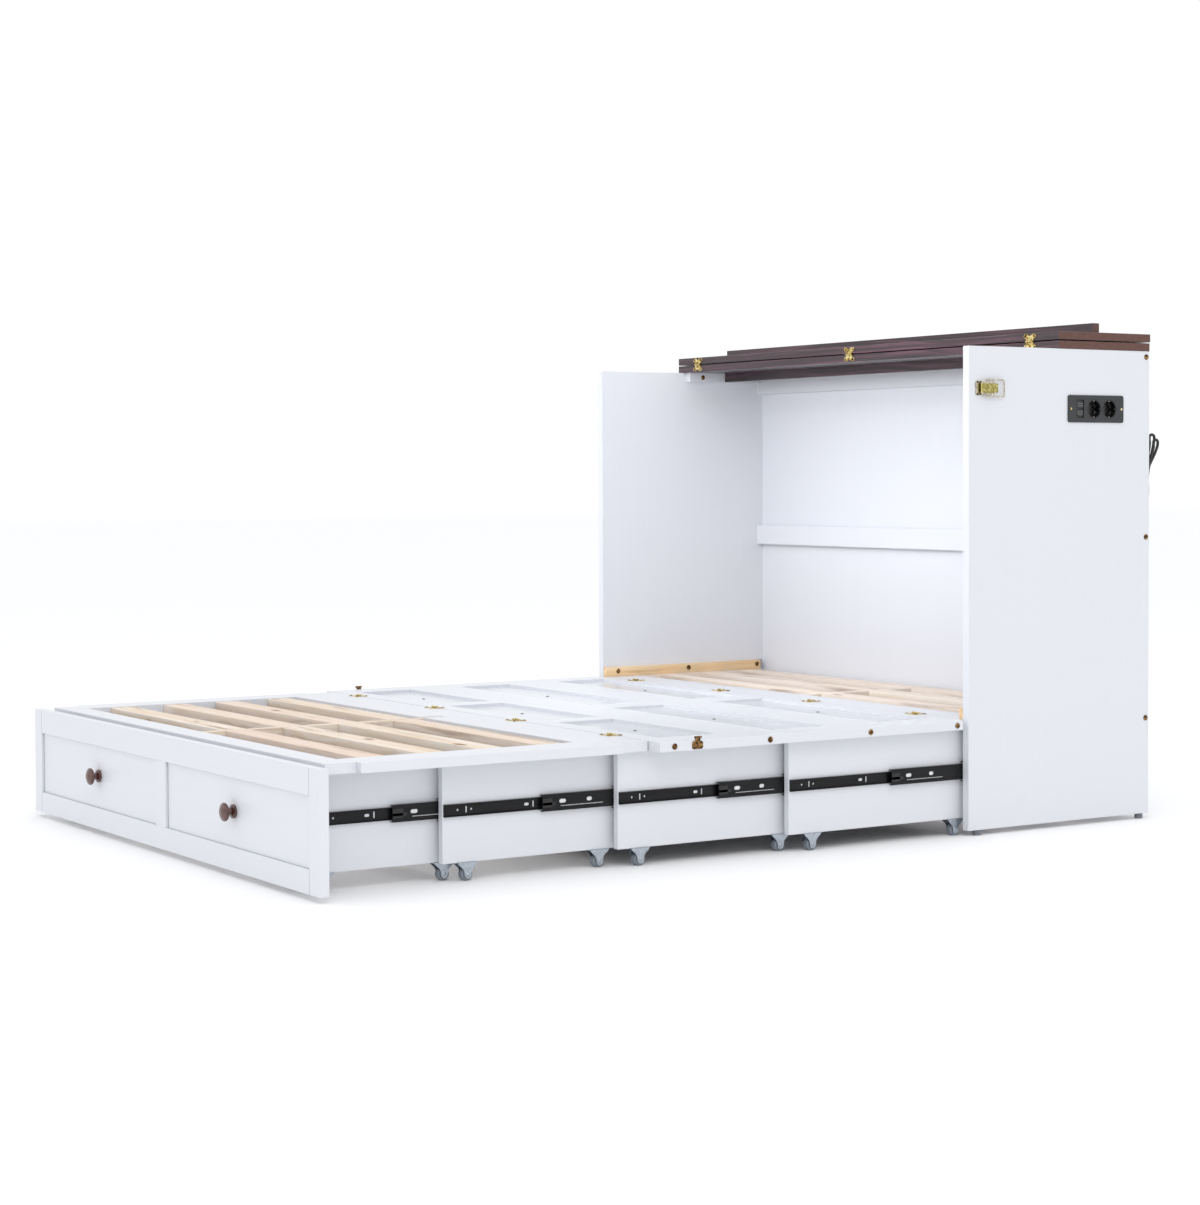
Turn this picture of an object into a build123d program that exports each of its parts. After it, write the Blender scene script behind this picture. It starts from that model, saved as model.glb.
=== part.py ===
"""Cabinet bed that folds into a chest: a cabinet, two hinged decks, a folding top and a telescopic base."""

from build123d import *
import math
import os

# Frame while modelling: X right, Y back, Z up; y = 0 is the front edge of the cabinet's side panels.

# cabinet
CABINET_WIDTH = 1460
CABINET_DEPTH = 532
PANEL_TOP = 1050
PANEL_THICKNESS = 19
FOOT_HEIGHT = 12
BACK_THICKNESS = 12
RAIL_THICKNESS = 18
HALF_WIDTH = CABINET_WIDTH / 2
INNER_X = HALF_WIDTH - PANEL_THICKNESS
BACK_Y = CABINET_DEPTH - BACK_THICKNESS
RAIL_Y = BACK_Y - RAIL_THICKNESS
CLEAT_THICKNESS = 15
CLEAT_X = INNER_X - CLEAT_THICKNESS

# folding top: the rear leaf is fixed, the front leaf lies folded back on it
LEAF_THICKNESS = 18
LEAF_GAP = 2
LEAF_OVERHANG = 1
LEAF_FRONT_Y = 257
FRONT_LEAF_DEPTH = 277
APRON_HEIGHT = 23
APRON_THICKNESS = 20
APRON_END_X = CLEAT_X - 0.5
REAR_APRON_Y = 384
FRONT_APRON_Y = 391
TOP_AXIS_Z = PANEL_TOP + LEAF_THICKNESS + LEAF_GAP / 2

# decks
DECK_TOP = 250
DECK_THICKNESS = 20
DECK_BOTTOM = DECK_TOP - DECK_THICKNESS
PANEL_BOARD = 8
DECK_AXIS_Z = DECK_TOP + 2.5
MIDDLE_FRONT_Y = -797
FOLD_AXIS_Y = -798.5
FRONT_DECK_BACK_Y = -800
FRONT_DECK_FRONT_Y = -1511
STRIP_THICKNESS = 18
MIDDLE_FRAME_X = HALF_WIDTH - STRIP_THICKNESS
FRONT_DECK_X = 708
FRONT_FRAME_X = FRONT_DECK_X - STRIP_THICKNESS
SLAT_DROP = 2
SLAT_WIDTH = 57
DIVIDER_WIDTH = 22

# drawer front and knobs
DRAWER_FRONT_Y = -1543
DRAWER_THICKNESS = 20
DRAWER_BOTTOM = 12
DRAWER_TOP = 246
DRAWER_BACK_Y = DRAWER_FRONT_Y + DRAWER_THICKNESS
RECESS = 6
FRAME_EASE = 0.6
KNOB_LENGTH = 30
KNOB_X = 350

# telescopic base: sections 4 (next to the cabinet) to 1 (behind the drawer front)
BOARD = 15
SLIDE_GAP = 13
SECTION_BOTTOM = 36
SECTION_TOP = 229.4
CROSS_TOP = 190
CROSS_BOTTOM = 40
SECTIONS = {  # front edge of the side boards, their length, the two caster places and the slide's length
    4: {"front": -457, "length": 475, "casters": (-397, -11), "slide": 460},
    3: {"front": -858, "length": 428, "casters": (-806, -459), "slide": 400},
    2: {"front": -1239, "length": 400, "casters": (-1185, -885), "slide": 380},
    1: {"front": DRAWER_BACK_Y, "length": 328, "casters": (-1478, -1221), "slide": 280},
}
MIDDLE_MEMBER_OUT = {4: 197, 3: 166, 2: 166, 1: 100}  # how far each middle slide member stands out
SLIDE_Z = 138
SLIDE_SHEET = 1.2
SLIDE_HEIGHTS = {"outer": 43, "middle": 33, "inner": 24}
SLIDE_SETBACK = 2

# casters
WHEEL_R = 12.5
WHEEL_WIDTH = 14
AXLE_R = 2.5
RUNNING_CLEARANCE = 0.05
FORK_WIDTH = 22
FORK_LENGTH = 44
FORK_SHEET = 2
FORK_CHEEK = [(21, 0), (20, -4), (13, -10), (9.5, -14), (7.6, -21)]  # half outline, down from the plate
FORK_LOBE_R = 7.6

# butt hinges
HINGE_PLATE = [(11, 2.7), (12, 6), (18, 8.5), (20, 12.5), (17.5, 16.5), (8, 16.5), (0, 12)]  # half outline
KNUCKLE_END = 12
KNUCKLE_SPLIT = 4
BARREL_R = 2.3
PIN_R = 1.2
PLATE = 1.6
AXIS_HEIGHT = 2.5
DECK_HINGE_X = (-555, -180, 180, 555)
TOP_HINGE_X = (-640, 0, 640)

# latches on both outer sides
LATCH_Z = 960
LATCH_AXIS_Y = 32
BAIL_AXIS_Y = 44
BAIL_LENGTH = 50
LATCH_X = HALF_WIDTH + 7
WIRE_R = 1.5

# sockets in the right side panel
SOCKET_Y = (284, 450)
SOCKET_Z = (889, 949)
SOCKET_PLATE = 2.5
WELL_R = 19.5
WELL_DEPTH = 16
WELL_Y = (361, 407)
USB_Y = 320

# mains lead behind the cabinet
CORD_R = 3.25
OUTLET_X = 688
OUTLET_Y = 545
OUTLET_Z = 880
LEAD_ROUTE = [(688, 545, 880), (688, 545, 861), (687, 547, 839), (688, 549, 816), (688, 549, 795)]
TAIL_ROUTE = [(684, 556, 684), (684, 556, 664), (679, 557, 645), (671, 559, 627), (668, 560, 607), (668, 560, 590)]
HANK_X = (676, 700)
HANK_OUTLINE = [
    (540, 795), (557, 795), (562, 862), (572, 870), (606, 856), (606, 846), (577, 790),
    (566, 765), (571, 706), (565, 684), (548, 684), (540, 700), (541, 765),
]
PLUG_R = 18.5

FRONT_EXTENT = DRAWER_FRONT_Y + RECESS - KNOB_LENGTH
BACK_EXTENT = LEAF_FRONT_Y + FRONT_LEAF_DEPTH
ORIGIN_Y = (FRONT_EXTENT + BACK_EXTENT) / 2


# ---------------------------------------------------------------- shared shapes


def board(x0, x1, y0, y1, z0, z1, ease=0.0):
    """A board between two corners; ease rounds all its edges."""
    shape = Pos((x0 + x1) / 2, (y0 + y1) / 2, (z0 + z1) / 2) * Box(x1 - x0, y1 - y0, z1 - z0)
    return fillet(shape.edges(), ease) if ease else shape


def rod_x(x0, x1, y, z, radius):
    return Pos((x0 + x1) / 2, y, z) * Rot(0, 90, 0) * Cylinder(radius, x1 - x0)


def rod_z(x, y, z0, z1, radius):
    return Pos(x, y, (z0 + z1) / 2) * Cylinder(radius, z1 - z0)


def other_side(shape):
    return mirror(shape, about=Plane.YZ)


def both_sides(shapes):
    return [side for shape in shapes for side in (shape, other_side(shape))]


def bolt(head_x, y, z, shank, radius=6):
    """A domed furniture bolt on the right, its head on the plane x = head_x and its shank inwards."""
    dome = Pos(head_x, y, z) * Rot(0, 90, 0) * Cone(radius, radius - 2, 2, align=(Align.CENTER, Align.CENTER, Align.MIN))
    return dome + rod_x(head_x - shank, head_x, y, z, radius / 2)


def knob():
    """A turned knob along +Z: foot disc, waist and domed head."""
    foot_r, waist_r, head_r = 14, 6.5, 18.5
    foot = Polyline((0, 0), (foot_r - 1.5, 0), (foot_r, 1.5), (foot_r, 5), (foot_r - 3, 7.5))
    neck = ThreePointArc((foot_r - 3, 7.5), (waist_r, 12), (head_r - 6, 17))
    head = ThreePointArc((head_r - 6, 17), (head_r, 21.5), (head_r - 4, 26))
    crown = Polyline((head_r - 4, 26), (head_r / 2, 28.6), (4, KNOB_LENGTH), (0, KNOB_LENGTH), (0, 0))
    outline = make_face(foot.edges() + neck.edges() + head.edges() + crown.edges())
    return revolve(Plane.XZ * outline, Axis.Z)


def hinge_plate(side):
    """The wing-shaped plate of a hinge on the side of +Y or -Y, with the hinge's axis along X through the origin."""
    right = [(x, side * y) for x, y in HINGE_PLATE]
    left = [(-x, y) for x, y in reversed(right) if x]
    outline = make_face(Polyline(*right, *left, close=True))
    return Pos(0, 0, -AXIS_HEIGHT) * extrude(outline, PLATE, dir=(0, 0, 1))


def knuckle(x0, x1, side):
    """One knuckle with the tongue that joins it to its plate."""
    y0, y1 = (0, BARREL_R + 1) if side > 0 else (-BARREL_R - 1, 0)
    tongue_x = [max(-11, min(11, x)) for x in (x0, x1)]
    return rod_x(x0, x1, 0, 0, BARREL_R) + board(*tongue_x, y0, y1, -AXIS_HEIGHT, PLATE - AXIS_HEIGHT)


def hinge_with_pin(side):
    """The half with two outer knuckles and the pin."""
    knuckles = knuckle(-KNUCKLE_END, -KNUCKLE_SPLIT, side) + knuckle(KNUCKLE_SPLIT, KNUCKLE_END, side)
    return hinge_plate(side) + knuckles + rod_x(-KNUCKLE_END, KNUCKLE_END, 0, 0, PIN_R)


def hinge_with_bore(side):
    """The half with the middle knuckle, bored to run on the pin."""
    inner = KNUCKLE_SPLIT - 0.3
    bore = rod_x(-inner - 1, inner + 1, 0, 0, PIN_R + RUNNING_CLEARANCE)
    return hinge_plate(side) + knuckle(-inner, inner, side) - bore


def deck_hinges(half, side, axis_y):
    return [Pos(x, axis_y, DECK_AXIS_Z) * half(side) for x in DECK_HINGE_X]


def top_hinges(half, side):
    """Hinges on the front edges of the two leaves: their plates stand upright, so the half is turned."""
    turned = Rot(90, 0, 0) * half(side)
    return [Pos(x, LEAF_FRONT_Y - AXIS_HEIGHT, TOP_AXIS_Z) * turned for x in TOP_HINGE_X]


# ---------------------------------------------------------------- cabinet


def panel_bolts():
    return [bolt(HALF_WIDTH, 522, z, PANEL_THICKNESS) for z in (227, 634, 1037)]


def socket_body():
    """The part of the socket unit that passes through the panel."""
    return board(INNER_X - 8, HALF_WIDTH, SOCKET_Y[0] + 12, SOCKET_Y[1] - 12, SOCKET_Z[0] + 5, SOCKET_Z[1] - 5)


def side_panel():
    return board(INNER_X, HALF_WIDTH, 0, CABINET_DEPTH, FOOT_HEIGHT, PANEL_TOP, 1)


def side_panel_left():
    return [other_side(side_panel()) - [other_side(b) for b in panel_bolts()]]


def side_panel_right():
    return [side_panel() - panel_bolts() - socket_body()]


def back_panel():
    return [board(-INNER_X, INNER_X, BACK_Y, CABINET_DEPTH, 30, PANEL_TOP - 0.2)]


def back_rails():
    levels = ((30, 90), (590, 641), (996, PANEL_TOP - 0.2))
    return [board(-INNER_X, INNER_X, RAIL_Y, BACK_Y, low, high) for low, high in levels]


def cabinet_feet():
    places = [(x, y) for x in (-INNER_X - 9, INNER_X + 9) for y in (32, 511)]
    return [rod_z(x, y, 0, FOOT_HEIGHT, 9) for x, y in places]


def cleat_bolts():
    """Bolts through the inner cleats, heads towards the middle of the cabinet."""
    places = [(y, 264) for y in (38, 263, 489)] + [(y, 1038) for y in (312, 470)]
    return [other_side(bolt(-CLEAT_X, y, z, CLEAT_THICKNESS)) for y, z in places]


def cabinet_bolts():
    return both_sides(panel_bolts() + cleat_bolts())


def top_cleats():
    cleat = board(CLEAT_X, INNER_X, 270, RAIL_Y, 1026, PANEL_TOP) - cleat_bolts()
    return both_sides([cleat])


def deck_cleats():
    cleat = board(CLEAT_X, INNER_X, 2, RAIL_Y, DECK_TOP, DECK_TOP + 24) - cleat_bolts()
    return both_sides([cleat])


def leaf(y0, y1, z0):
    edge_x = HALF_WIDTH + LEAF_OVERHANG
    return board(-edge_x, edge_x, y0, y1, z0, z0 + LEAF_THICKNESS, 1.5)


def apron(y0, z0):
    return board(-APRON_END_X, APRON_END_X, y0, y0 + APRON_THICKNESS, z0, z0 + APRON_HEIGHT)


def top_rear_leaf():
    return [leaf(LEAF_FRONT_Y, CABINET_DEPTH, PANEL_TOP), apron(REAR_APRON_Y, PANEL_TOP - APRON_HEIGHT)]


def top_front_leaf():
    low = PANEL_TOP + LEAF_THICKNESS + LEAF_GAP
    return [leaf(LEAF_FRONT_Y, BACK_EXTENT, low), apron(FRONT_APRON_Y, low + LEAF_THICKNESS)]


def rear_deck_rail():
    return [board(-INNER_X, INNER_X, 0.8, 98, DECK_BOTTOM, DECK_TOP)]


def rear_deck_slats():
    """Pine slats butted to a lengthways divider, under the side cleats."""
    half_divider = DIVIDER_WIDTH / 2
    top = DECK_TOP - SLAT_DROP
    divider = board(-half_divider, half_divider, 98, RAIL_Y, DECK_BOTTOM, top)
    slats = []
    for y in (160, 307, 440):
        slats.append(board(half_divider, CLEAT_X - 0.5, y, y + 60, DECK_BOTTOM, top, 1))
    ledge = board(CLEAT_X - 0.5, INNER_X, 98, RAIL_Y, DECK_BOTTOM, DECK_TOP)
    return [divider] + both_sides(slats + [ledge])


def socket_unit():
    """Face plate with two round wells and a port recess, the body behind it, and a cover inside the cabinet."""
    plate = board(HALF_WIDTH, HALF_WIDTH + SOCKET_PLATE, *SOCKET_Y, *SOCKET_Z)
    plate = fillet(plate.edges().filter_by(Axis.X), 5)
    unit = plate + socket_body()
    floor_x = HALF_WIDTH + SOCKET_PLATE - WELL_DEPTH
    mid_z = sum(SOCKET_Z) / 2
    for y in WELL_Y:
        unit -= rod_x(floor_x, HALF_WIDTH + 10, y, mid_z, WELL_R)
    unit -= board(HALF_WIDTH - 1, HALF_WIDTH + 10, USB_Y - 11, USB_Y + 11, mid_z - 20, mid_z + 20)
    ports = [usb_port(z) for z in (mid_z + 9, mid_z - 9)]
    cover = board(INNER_X - 22, INNER_X - 8, SOCKET_Y[0] - 6, RAIL_Y, SOCKET_Z[0] - 5, SOCKET_Z[1] + 5, 2)
    return [unit, cover] + ports


def usb_port(z):
    """One charging port block in the recess."""
    block = board(HALF_WIDTH - 1, HALF_WIDTH + 1.5, USB_Y - 9, USB_Y + 9, z - 7, z + 7)
    return block - board(HALF_WIDTH, HALF_WIDTH + 3, USB_Y - 6, USB_Y + 6, z - 2.5, z + 2.5)


def latch_bases():
    """Plate on the panel with two lugs and the pin on which the lever turns."""
    plate = board(HALF_WIDTH, HALF_WIDTH + 2, 18, 70, LATCH_Z - 15, LATCH_Z + 15)
    base = fillet(plate.edges().filter_by(Axis.X), 3)
    for z0, z1 in ((LATCH_Z - 15, LATCH_Z - 11), (LATCH_Z + 11, LATCH_Z + 15)):
        base += board(HALF_WIDTH, LATCH_X + 4, LATCH_AXIS_Y - 5, LATCH_AXIS_Y + 5, z0, z1)
    base += rod_z(LATCH_X, LATCH_AXIS_Y, LATCH_Z - 15, LATCH_Z + 15, 1.8)
    return both_sides([base])


def cabinet_hinges():
    return deck_hinges(hinge_with_pin, 1, 0) + top_hinges(hinge_with_pin, -1)


def slide_channel(x_web, x_lip, y0, y1, height):
    """A C-shaped slide member: an upright web at x_web with two lips that reach to x_lip."""
    low, high = SLIDE_Z - height / 2, SLIDE_Z + height / 2
    inward = 1 if x_lip > x_web else -1
    web = board(*sorted((x_web, x_web + inward * SLIDE_SHEET)), y0, y1, low, high)
    lips = [
        board(*sorted((x_web, x_lip)), y0, y1, z0, z0 + SLIDE_SHEET) for z0 in (low, high - SLIDE_SHEET)
    ]
    return web + lips


def section_outer_x(number):
    """The outer face of a section's right side board."""
    return INNER_X - SLIDE_GAP - (4 - number) * (BOARD + SLIDE_GAP)


def slide_front(number):
    """Where the slide of a section starts in the piece around it."""
    return (SECTIONS[number + 1]["front"] if number < 4 else 1) + SLIDE_SETBACK


def outer_member(number):
    """The slide member on the inner face of the piece around section number."""
    wall = section_outer_x(number) + SLIDE_GAP
    start = slide_front(number)
    return slide_channel(wall, wall - 11, start, start + SECTIONS[number]["slide"], SLIDE_HEIGHTS["outer"])


def middle_member(number):
    wall = section_outer_x(number) + SLIDE_GAP
    start = slide_front(number) - MIDDLE_MEMBER_OUT[number]
    end = start + SECTIONS[number]["slide"]
    return slide_channel(wall - 2.4, wall - 11.2, start, end, SLIDE_HEIGHTS["middle"])


def inner_member(number):
    """The slide member on the outer face of a section."""
    wall = section_outer_x(number)
    start = SECTIONS[number]["front"] + (SLIDE_SETBACK if number > 1 else 5)
    return slide_channel(wall, wall + 7, start, start + SECTIONS[number]["slide"], SLIDE_HEIGHTS["inner"])


def slide_rails_cabinet():
    return both_sides([outer_member(4)])


# ---------------------------------------------------------------- mains lead


def tube(route):
    """A round cord along straight runs joined by arcs as large as the runs allow."""
    points = [Vector(*p) for p in route]
    runs = [b - a for a, b in zip(points, points[1:])]
    radii = []
    for before, after in zip(runs, runs[1:]):
        turn = math.radians(before.get_angle(after))
        radii.append(0.45 * min(before.length, after.length) / math.tan(turn / 2))
    path = FilletPolyline(*points, radius=radii)
    section = Plane(origin=path @ 0, z_dir=path % 0) * Circle(CORD_R)
    solid = sweep(section, path=path)
    print("cord run", round(path.length), "mm, least radius", round(min(radii)), "mm")
    print("  volume over section times length", round(solid.volume / (section.area * path.length), 4))
    return solid


def cord_outlet():
    """Moulded outlet on the back panel; the cord leaves it downwards."""
    housing = board(OUTLET_X - 14, OUTLET_X + 14, CABINET_DEPTH, OUTLET_Y + 9, OUTLET_Z + 6, OUTLET_Z + 44, 3)
    neck = rod_z(OUTLET_X, OUTLET_Y, OUTLET_Z, OUTLET_Z + 10, 6)
    return [housing + neck]


def cord_lead():
    return [tube(LEAD_ROUTE), tube(TAIL_ROUTE)]


def cord_hank():
    outline = Plane.YZ * make_face(Polyline(*HANK_OUTLINE, close=True))
    return [Pos(HANK_X[0], 0, 0) * extrude(outline, HANK_X[1] - HANK_X[0], dir=(1, 0, 0))]


def cord_plug():
    """Round two-pin plug, hanging with its pins down."""
    x, y, top = TAIL_ROUTE[-1]
    body = rod_z(x, y, top - 36, top - 12, PLUG_R) + rod_z(x, y, top - 14, top, 8)
    pins = [rod_z(x + dx, y, top - 55, top - 35, 2.4) for dx in (-9.5, 9.5)]
    return [body + pins]


# ---------------------------------------------------------------- decks


def middle_frame():
    """Rails and stiles around seven thin panels."""
    half = MIDDLE_FRAME_X
    pieces = [(-half, half, y0, y1) for y0, y1 in ((-40, -1), (-325, -180), (-605, -465), (MIDDLE_FRONT_Y, -745))]
    for y0, y1 in ((-180, -40), (-465, -325), (-745, -605)):
        pieces += [(-half, -650, y0, y1), (650, half, y0, y1)]
    pieces += [(-45, 45, y0, y1) for y0, y1 in ((-180, -40), (-465, -325))]
    pieces += [(x, x + 60, -745, -605) for x in (-265, 205)]
    return [board(*piece, DECK_BOTTOM, DECK_TOP) for piece in pieces]


def middle_panel_boxes():
    """The x and y limits of the seven panels."""
    wide = [(x0, x1, y0, y1) for y0, y1 in ((-180, -40), (-465, -325)) for x0, x1 in ((-650, -45), (45, 650))]
    return wide + [(x0, x1, -745, -605) for x0, x1 in ((-650, -265), (-205, 205), (265, 650))]


def middle_panels():
    low = DECK_BOTTOM + RECESS
    return [board(*box, low, low + PANEL_BOARD) for box in middle_panel_boxes()]


def middle_bolt_places():
    return (-762, -527, -267, -31)


def middle_strips():
    strip = board(MIDDLE_FRAME_X, HALF_WIDTH, MIDDLE_FRONT_Y, -15, DECK_BOTTOM, DECK_TOP, 1)
    for y in middle_bolt_places():
        strip -= bolt(HALF_WIDTH, y, DECK_TOP - 10, STRIP_THICKNESS)
    return both_sides([strip])


def keeper():
    """Latch keeper: a rounded plate on the side of the deck with a neck and a rolled hook above it."""
    y, z = -LATCH_Z + DECK_AXIS_Z, DECK_TOP - 10
    plate = board(HALF_WIDTH, HALF_WIDTH + 1.5, y - 13, y + 13, z - 8, z + 8)
    plate = fillet(plate.edges().filter_by(Axis.X), 5)
    neck = board(HALF_WIDTH, HALF_WIDTH + 2.5, y - 6, y + 6, z, z + 16)
    hook = board(HALF_WIDTH, HALF_WIDTH + 4.8, y - 8, y + 8, z + 14, z + 18, 0.6)
    return plate + neck + hook


def middle_fittings():
    bolts = [bolt(HALF_WIDTH, y, DECK_TOP - 10, STRIP_THICKNESS) for y in middle_bolt_places()]
    return both_sides(bolts + [keeper()])


def middle_knobs():
    """Knobs of the false drawers, on the underside while the bed is open."""
    places = [((x0 + x1) / 2, (y0 + y1) / 2) for x0, x1, y0, y1 in middle_panel_boxes()]
    return [Pos(x, y, DECK_BOTTOM + RECESS) * Rot(180, 0, 0) * knob() for x, y in places]


def middle_hinges():
    return deck_hinges(hinge_with_bore, -1, 0) + deck_hinges(hinge_with_pin, 1, FOLD_AXIS_Y)


def front_frame():
    """Front rail, wide rear rail and two stiles; the divider is housed in a notch of the rear rail."""
    half, stile = FRONT_FRAME_X, 625
    rail_y, rear_y = -1455, -932
    notch = board(-DIVIDER_WIDTH / 2, DIVIDER_WIDTH / 2, rear_y, -877, DECK_BOTTOM, DECK_TOP)
    rear = board(-half, half, rear_y, FRONT_DECK_BACK_Y, DECK_BOTTOM, DECK_TOP) - notch
    front = board(-half, half, FRONT_DECK_FRONT_Y, rail_y, DECK_BOTTOM, DECK_TOP)
    side = board(stile, half, rail_y, rear_y, DECK_BOTTOM, DECK_TOP)
    edge_strip = board(half, FRONT_DECK_X, -1446, -867, DECK_BOTTOM, DECK_TOP, 1)
    return [front, rear] + both_sides([side, edge_strip])


def front_slats():
    half_divider, top = DIVIDER_WIDTH / 2, DECK_TOP - SLAT_DROP
    divider = board(-half_divider, half_divider, -1455, -877, DECK_BOTTOM, top)
    fronts = (-1400, -1271, -1140, -1007)
    slats = [board(half_divider, 625, y, y + SLAT_WIDTH, DECK_BOTTOM, top, 1) for y in fronts]
    return [divider] + both_sides(slats)


def front_hinges():
    return deck_hinges(hinge_with_bore, -1, FOLD_AXIS_Y)


# ---------------------------------------------------------------- latch levers and bails


def latch_lever():
    """Box-shaped lever with a barrel on the base's pin and two holes for the bail."""
    low, high = LATCH_Z - 10, LATCH_Z + 10
    arm = board(LATCH_X - 4, LATCH_X + 4, LATCH_AXIS_Y + 1, LATCH_AXIS_Y + 42, low, high)
    arm = fillet(arm.edges().filter_by(Axis.Z), 2) + rod_z(LATCH_X, LATCH_AXIS_Y, low, high, 4)
    arm -= rod_z(LATCH_X, LATCH_AXIS_Y, low - 1, high + 1, 1.8 + RUNNING_CLEARANCE)
    return arm - rod_z(LATCH_X, BAIL_AXIS_Y, low - 1, high + 1, WIRE_R + RUNNING_CLEARANCE)


def latch_bail():
    """Wire loop whose cross bar turns in the lever."""
    low, high = LATCH_Z - 18, LATCH_Z + 18
    end_y = BAIL_AXIS_Y + BAIL_LENGTH
    corners = [(LATCH_X, end_y, LATCH_Z), (LATCH_X, end_y, low), (LATCH_X, BAIL_AXIS_Y, low), (LATCH_X, BAIL_AXIS_Y, LATCH_Z)]
    path = FilletPolyline(*corners, radius=[5, 3])
    half = sweep(Plane(origin=path @ 0, z_dir=path % 0) * Circle(WIRE_R), path=path)
    return half + mirror(half, about=Plane(origin=(0, 0, LATCH_Z), z_dir=(0, 0, 1)))


def latch_part(shape, side):
    return [shape if side == "right" else other_side(shape)]


# ---------------------------------------------------------------- base sections


def section_box(number):
    """Two side boards and a low cross board at the back."""
    outer = section_outer_x(number)
    inner = outer - BOARD
    start = SECTIONS[number]["front"]
    end = start + SECTIONS[number]["length"]
    side = board(inner, outer, start, end, SECTION_BOTTOM, SECTION_TOP, 0.8)
    cross = board(-inner, inner, end - BOARD - 1, end - 1, CROSS_BOTTOM, CROSS_TOP)
    return both_sides([side]) + [cross]


def drawer_front():
    """Framed front: full-height stiles, rails and a middle stile between them, two thin panels set back."""
    front, back = DRAWER_FRONT_Y, DRAWER_BACK_Y
    low, high, stile, half_middle = 58, 194, 688, 26
    end_stile = board(stile, HALF_WIDTH, front, back, DRAWER_BOTTOM, DRAWER_TOP, FRAME_EASE)
    rails = [(DRAWER_BOTTOM, low), (high, DRAWER_TOP)]
    frame = [board(-stile, stile, front, back, z0, z1, FRAME_EASE) for z0, z1 in rails]
    middle = board(-half_middle, half_middle, front, back, low, high, FRAME_EASE)
    panel = board(half_middle, stile, front + RECESS, front + RECESS + PANEL_BOARD, low, high)
    return frame + [middle] + both_sides([end_stile, panel])


def drawer_knobs():
    handle = Pos(KNOB_X, DRAWER_FRONT_Y + RECESS, 128) * Rot(90, 0, 0) * knob()
    return both_sides([handle])


def section_rails(number):
    members = [inner_member(number)] + ([outer_member(number - 1)] if number > 1 else [])
    return both_sides(members)


def caster_fork():
    """Bent fork with its axle, centred under a board, wheel axis at the origin."""
    top = SECTION_BOTTOM - WHEEL_R
    half = FORK_WIDTH / 2
    plate = board(-half, half, -FORK_LENGTH / 2, FORK_LENGTH / 2, top - FORK_SHEET, top)
    edge = [(y, top + drop) for y, drop in FORK_CHEEK]
    cheek_face = make_face(Polyline(*edge, *[(-y, z) for y, z in reversed(edge)], close=True)) + Circle(FORK_LOBE_R)
    cheeks = Plane.YZ * cheek_face
    fork = plate
    for x in (-half, half - FORK_SHEET):
        fork += Pos(x, 0, 0) * extrude(cheeks, FORK_SHEET, dir=(1, 0, 0))
    return fork + rod_x(-half, half, 0, 0, AXLE_R)


def caster_wheel():
    """Rounded wheel with the bore that runs on the axle."""
    wheel = fillet(rod_x(-WHEEL_WIDTH / 2, WHEEL_WIDTH / 2, 0, 0, WHEEL_R).edges(), 2)
    return wheel - rod_x(-WHEEL_WIDTH, WHEEL_WIDTH, 0, 0, AXLE_R + RUNNING_CLEARANCE)


def caster_place(number, y):
    return Pos(section_outer_x(number) - BOARD / 2, y, WHEEL_R)


def section_forks(number):
    return both_sides([caster_place(number, y) * caster_fork() for y in SECTIONS[number]["casters"]])


def section_wheels(number, end):
    place = caster_place(number, SECTIONS[number]["casters"][end])
    return both_sides([place * caster_wheel()])


# ---------------------------------------------------------------- writing the nodes


def save(name, solids):
    placed = [Pos(0, -ORIGIN_Y, 0) * solid for solid in solids]
    export_step(Compound(children=placed) if len(placed) > 1 else placed[0], f"parts/{name}.step")


os.makedirs("parts", exist_ok=True)

for make in (
    side_panel_left, side_panel_right, back_panel, back_rails, cabinet_feet, cabinet_bolts, top_cleats,
    deck_cleats, top_rear_leaf, top_front_leaf, rear_deck_rail, rear_deck_slats, socket_unit, latch_bases,
    cabinet_hinges, slide_rails_cabinet, cord_outlet, cord_lead, cord_hank, cord_plug, middle_frame,
    middle_panels, middle_strips, middle_fittings, middle_knobs, middle_hinges, front_frame,
    front_slats, front_hinges, drawer_front, drawer_knobs,
):
    save(make.__name__, make())

save("top_front_hinges", top_hinges(hinge_with_bore, 1))
for side in ("left", "right"):
    save(f"latch_lever_{side}", latch_part(latch_lever(), side))
    save(f"latch_bail_{side}", latch_part(latch_bail(), side))
for number in SECTIONS:
    save(f"section_{number}_box", section_box(number))
    save(f"section_{number}_rails", section_rails(number))
    save(f"section_{number}_forks", section_forks(number))
    save(f"slide_{number}_middle", both_sides([middle_member(number)]))
    for end, place in enumerate(("front", "rear")):
        save(f"wheels_{number}_{place}", section_wheels(number, end))
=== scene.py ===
import math
import random

import bmesh
import bpy
from mathutils import Matrix, Vector


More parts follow.
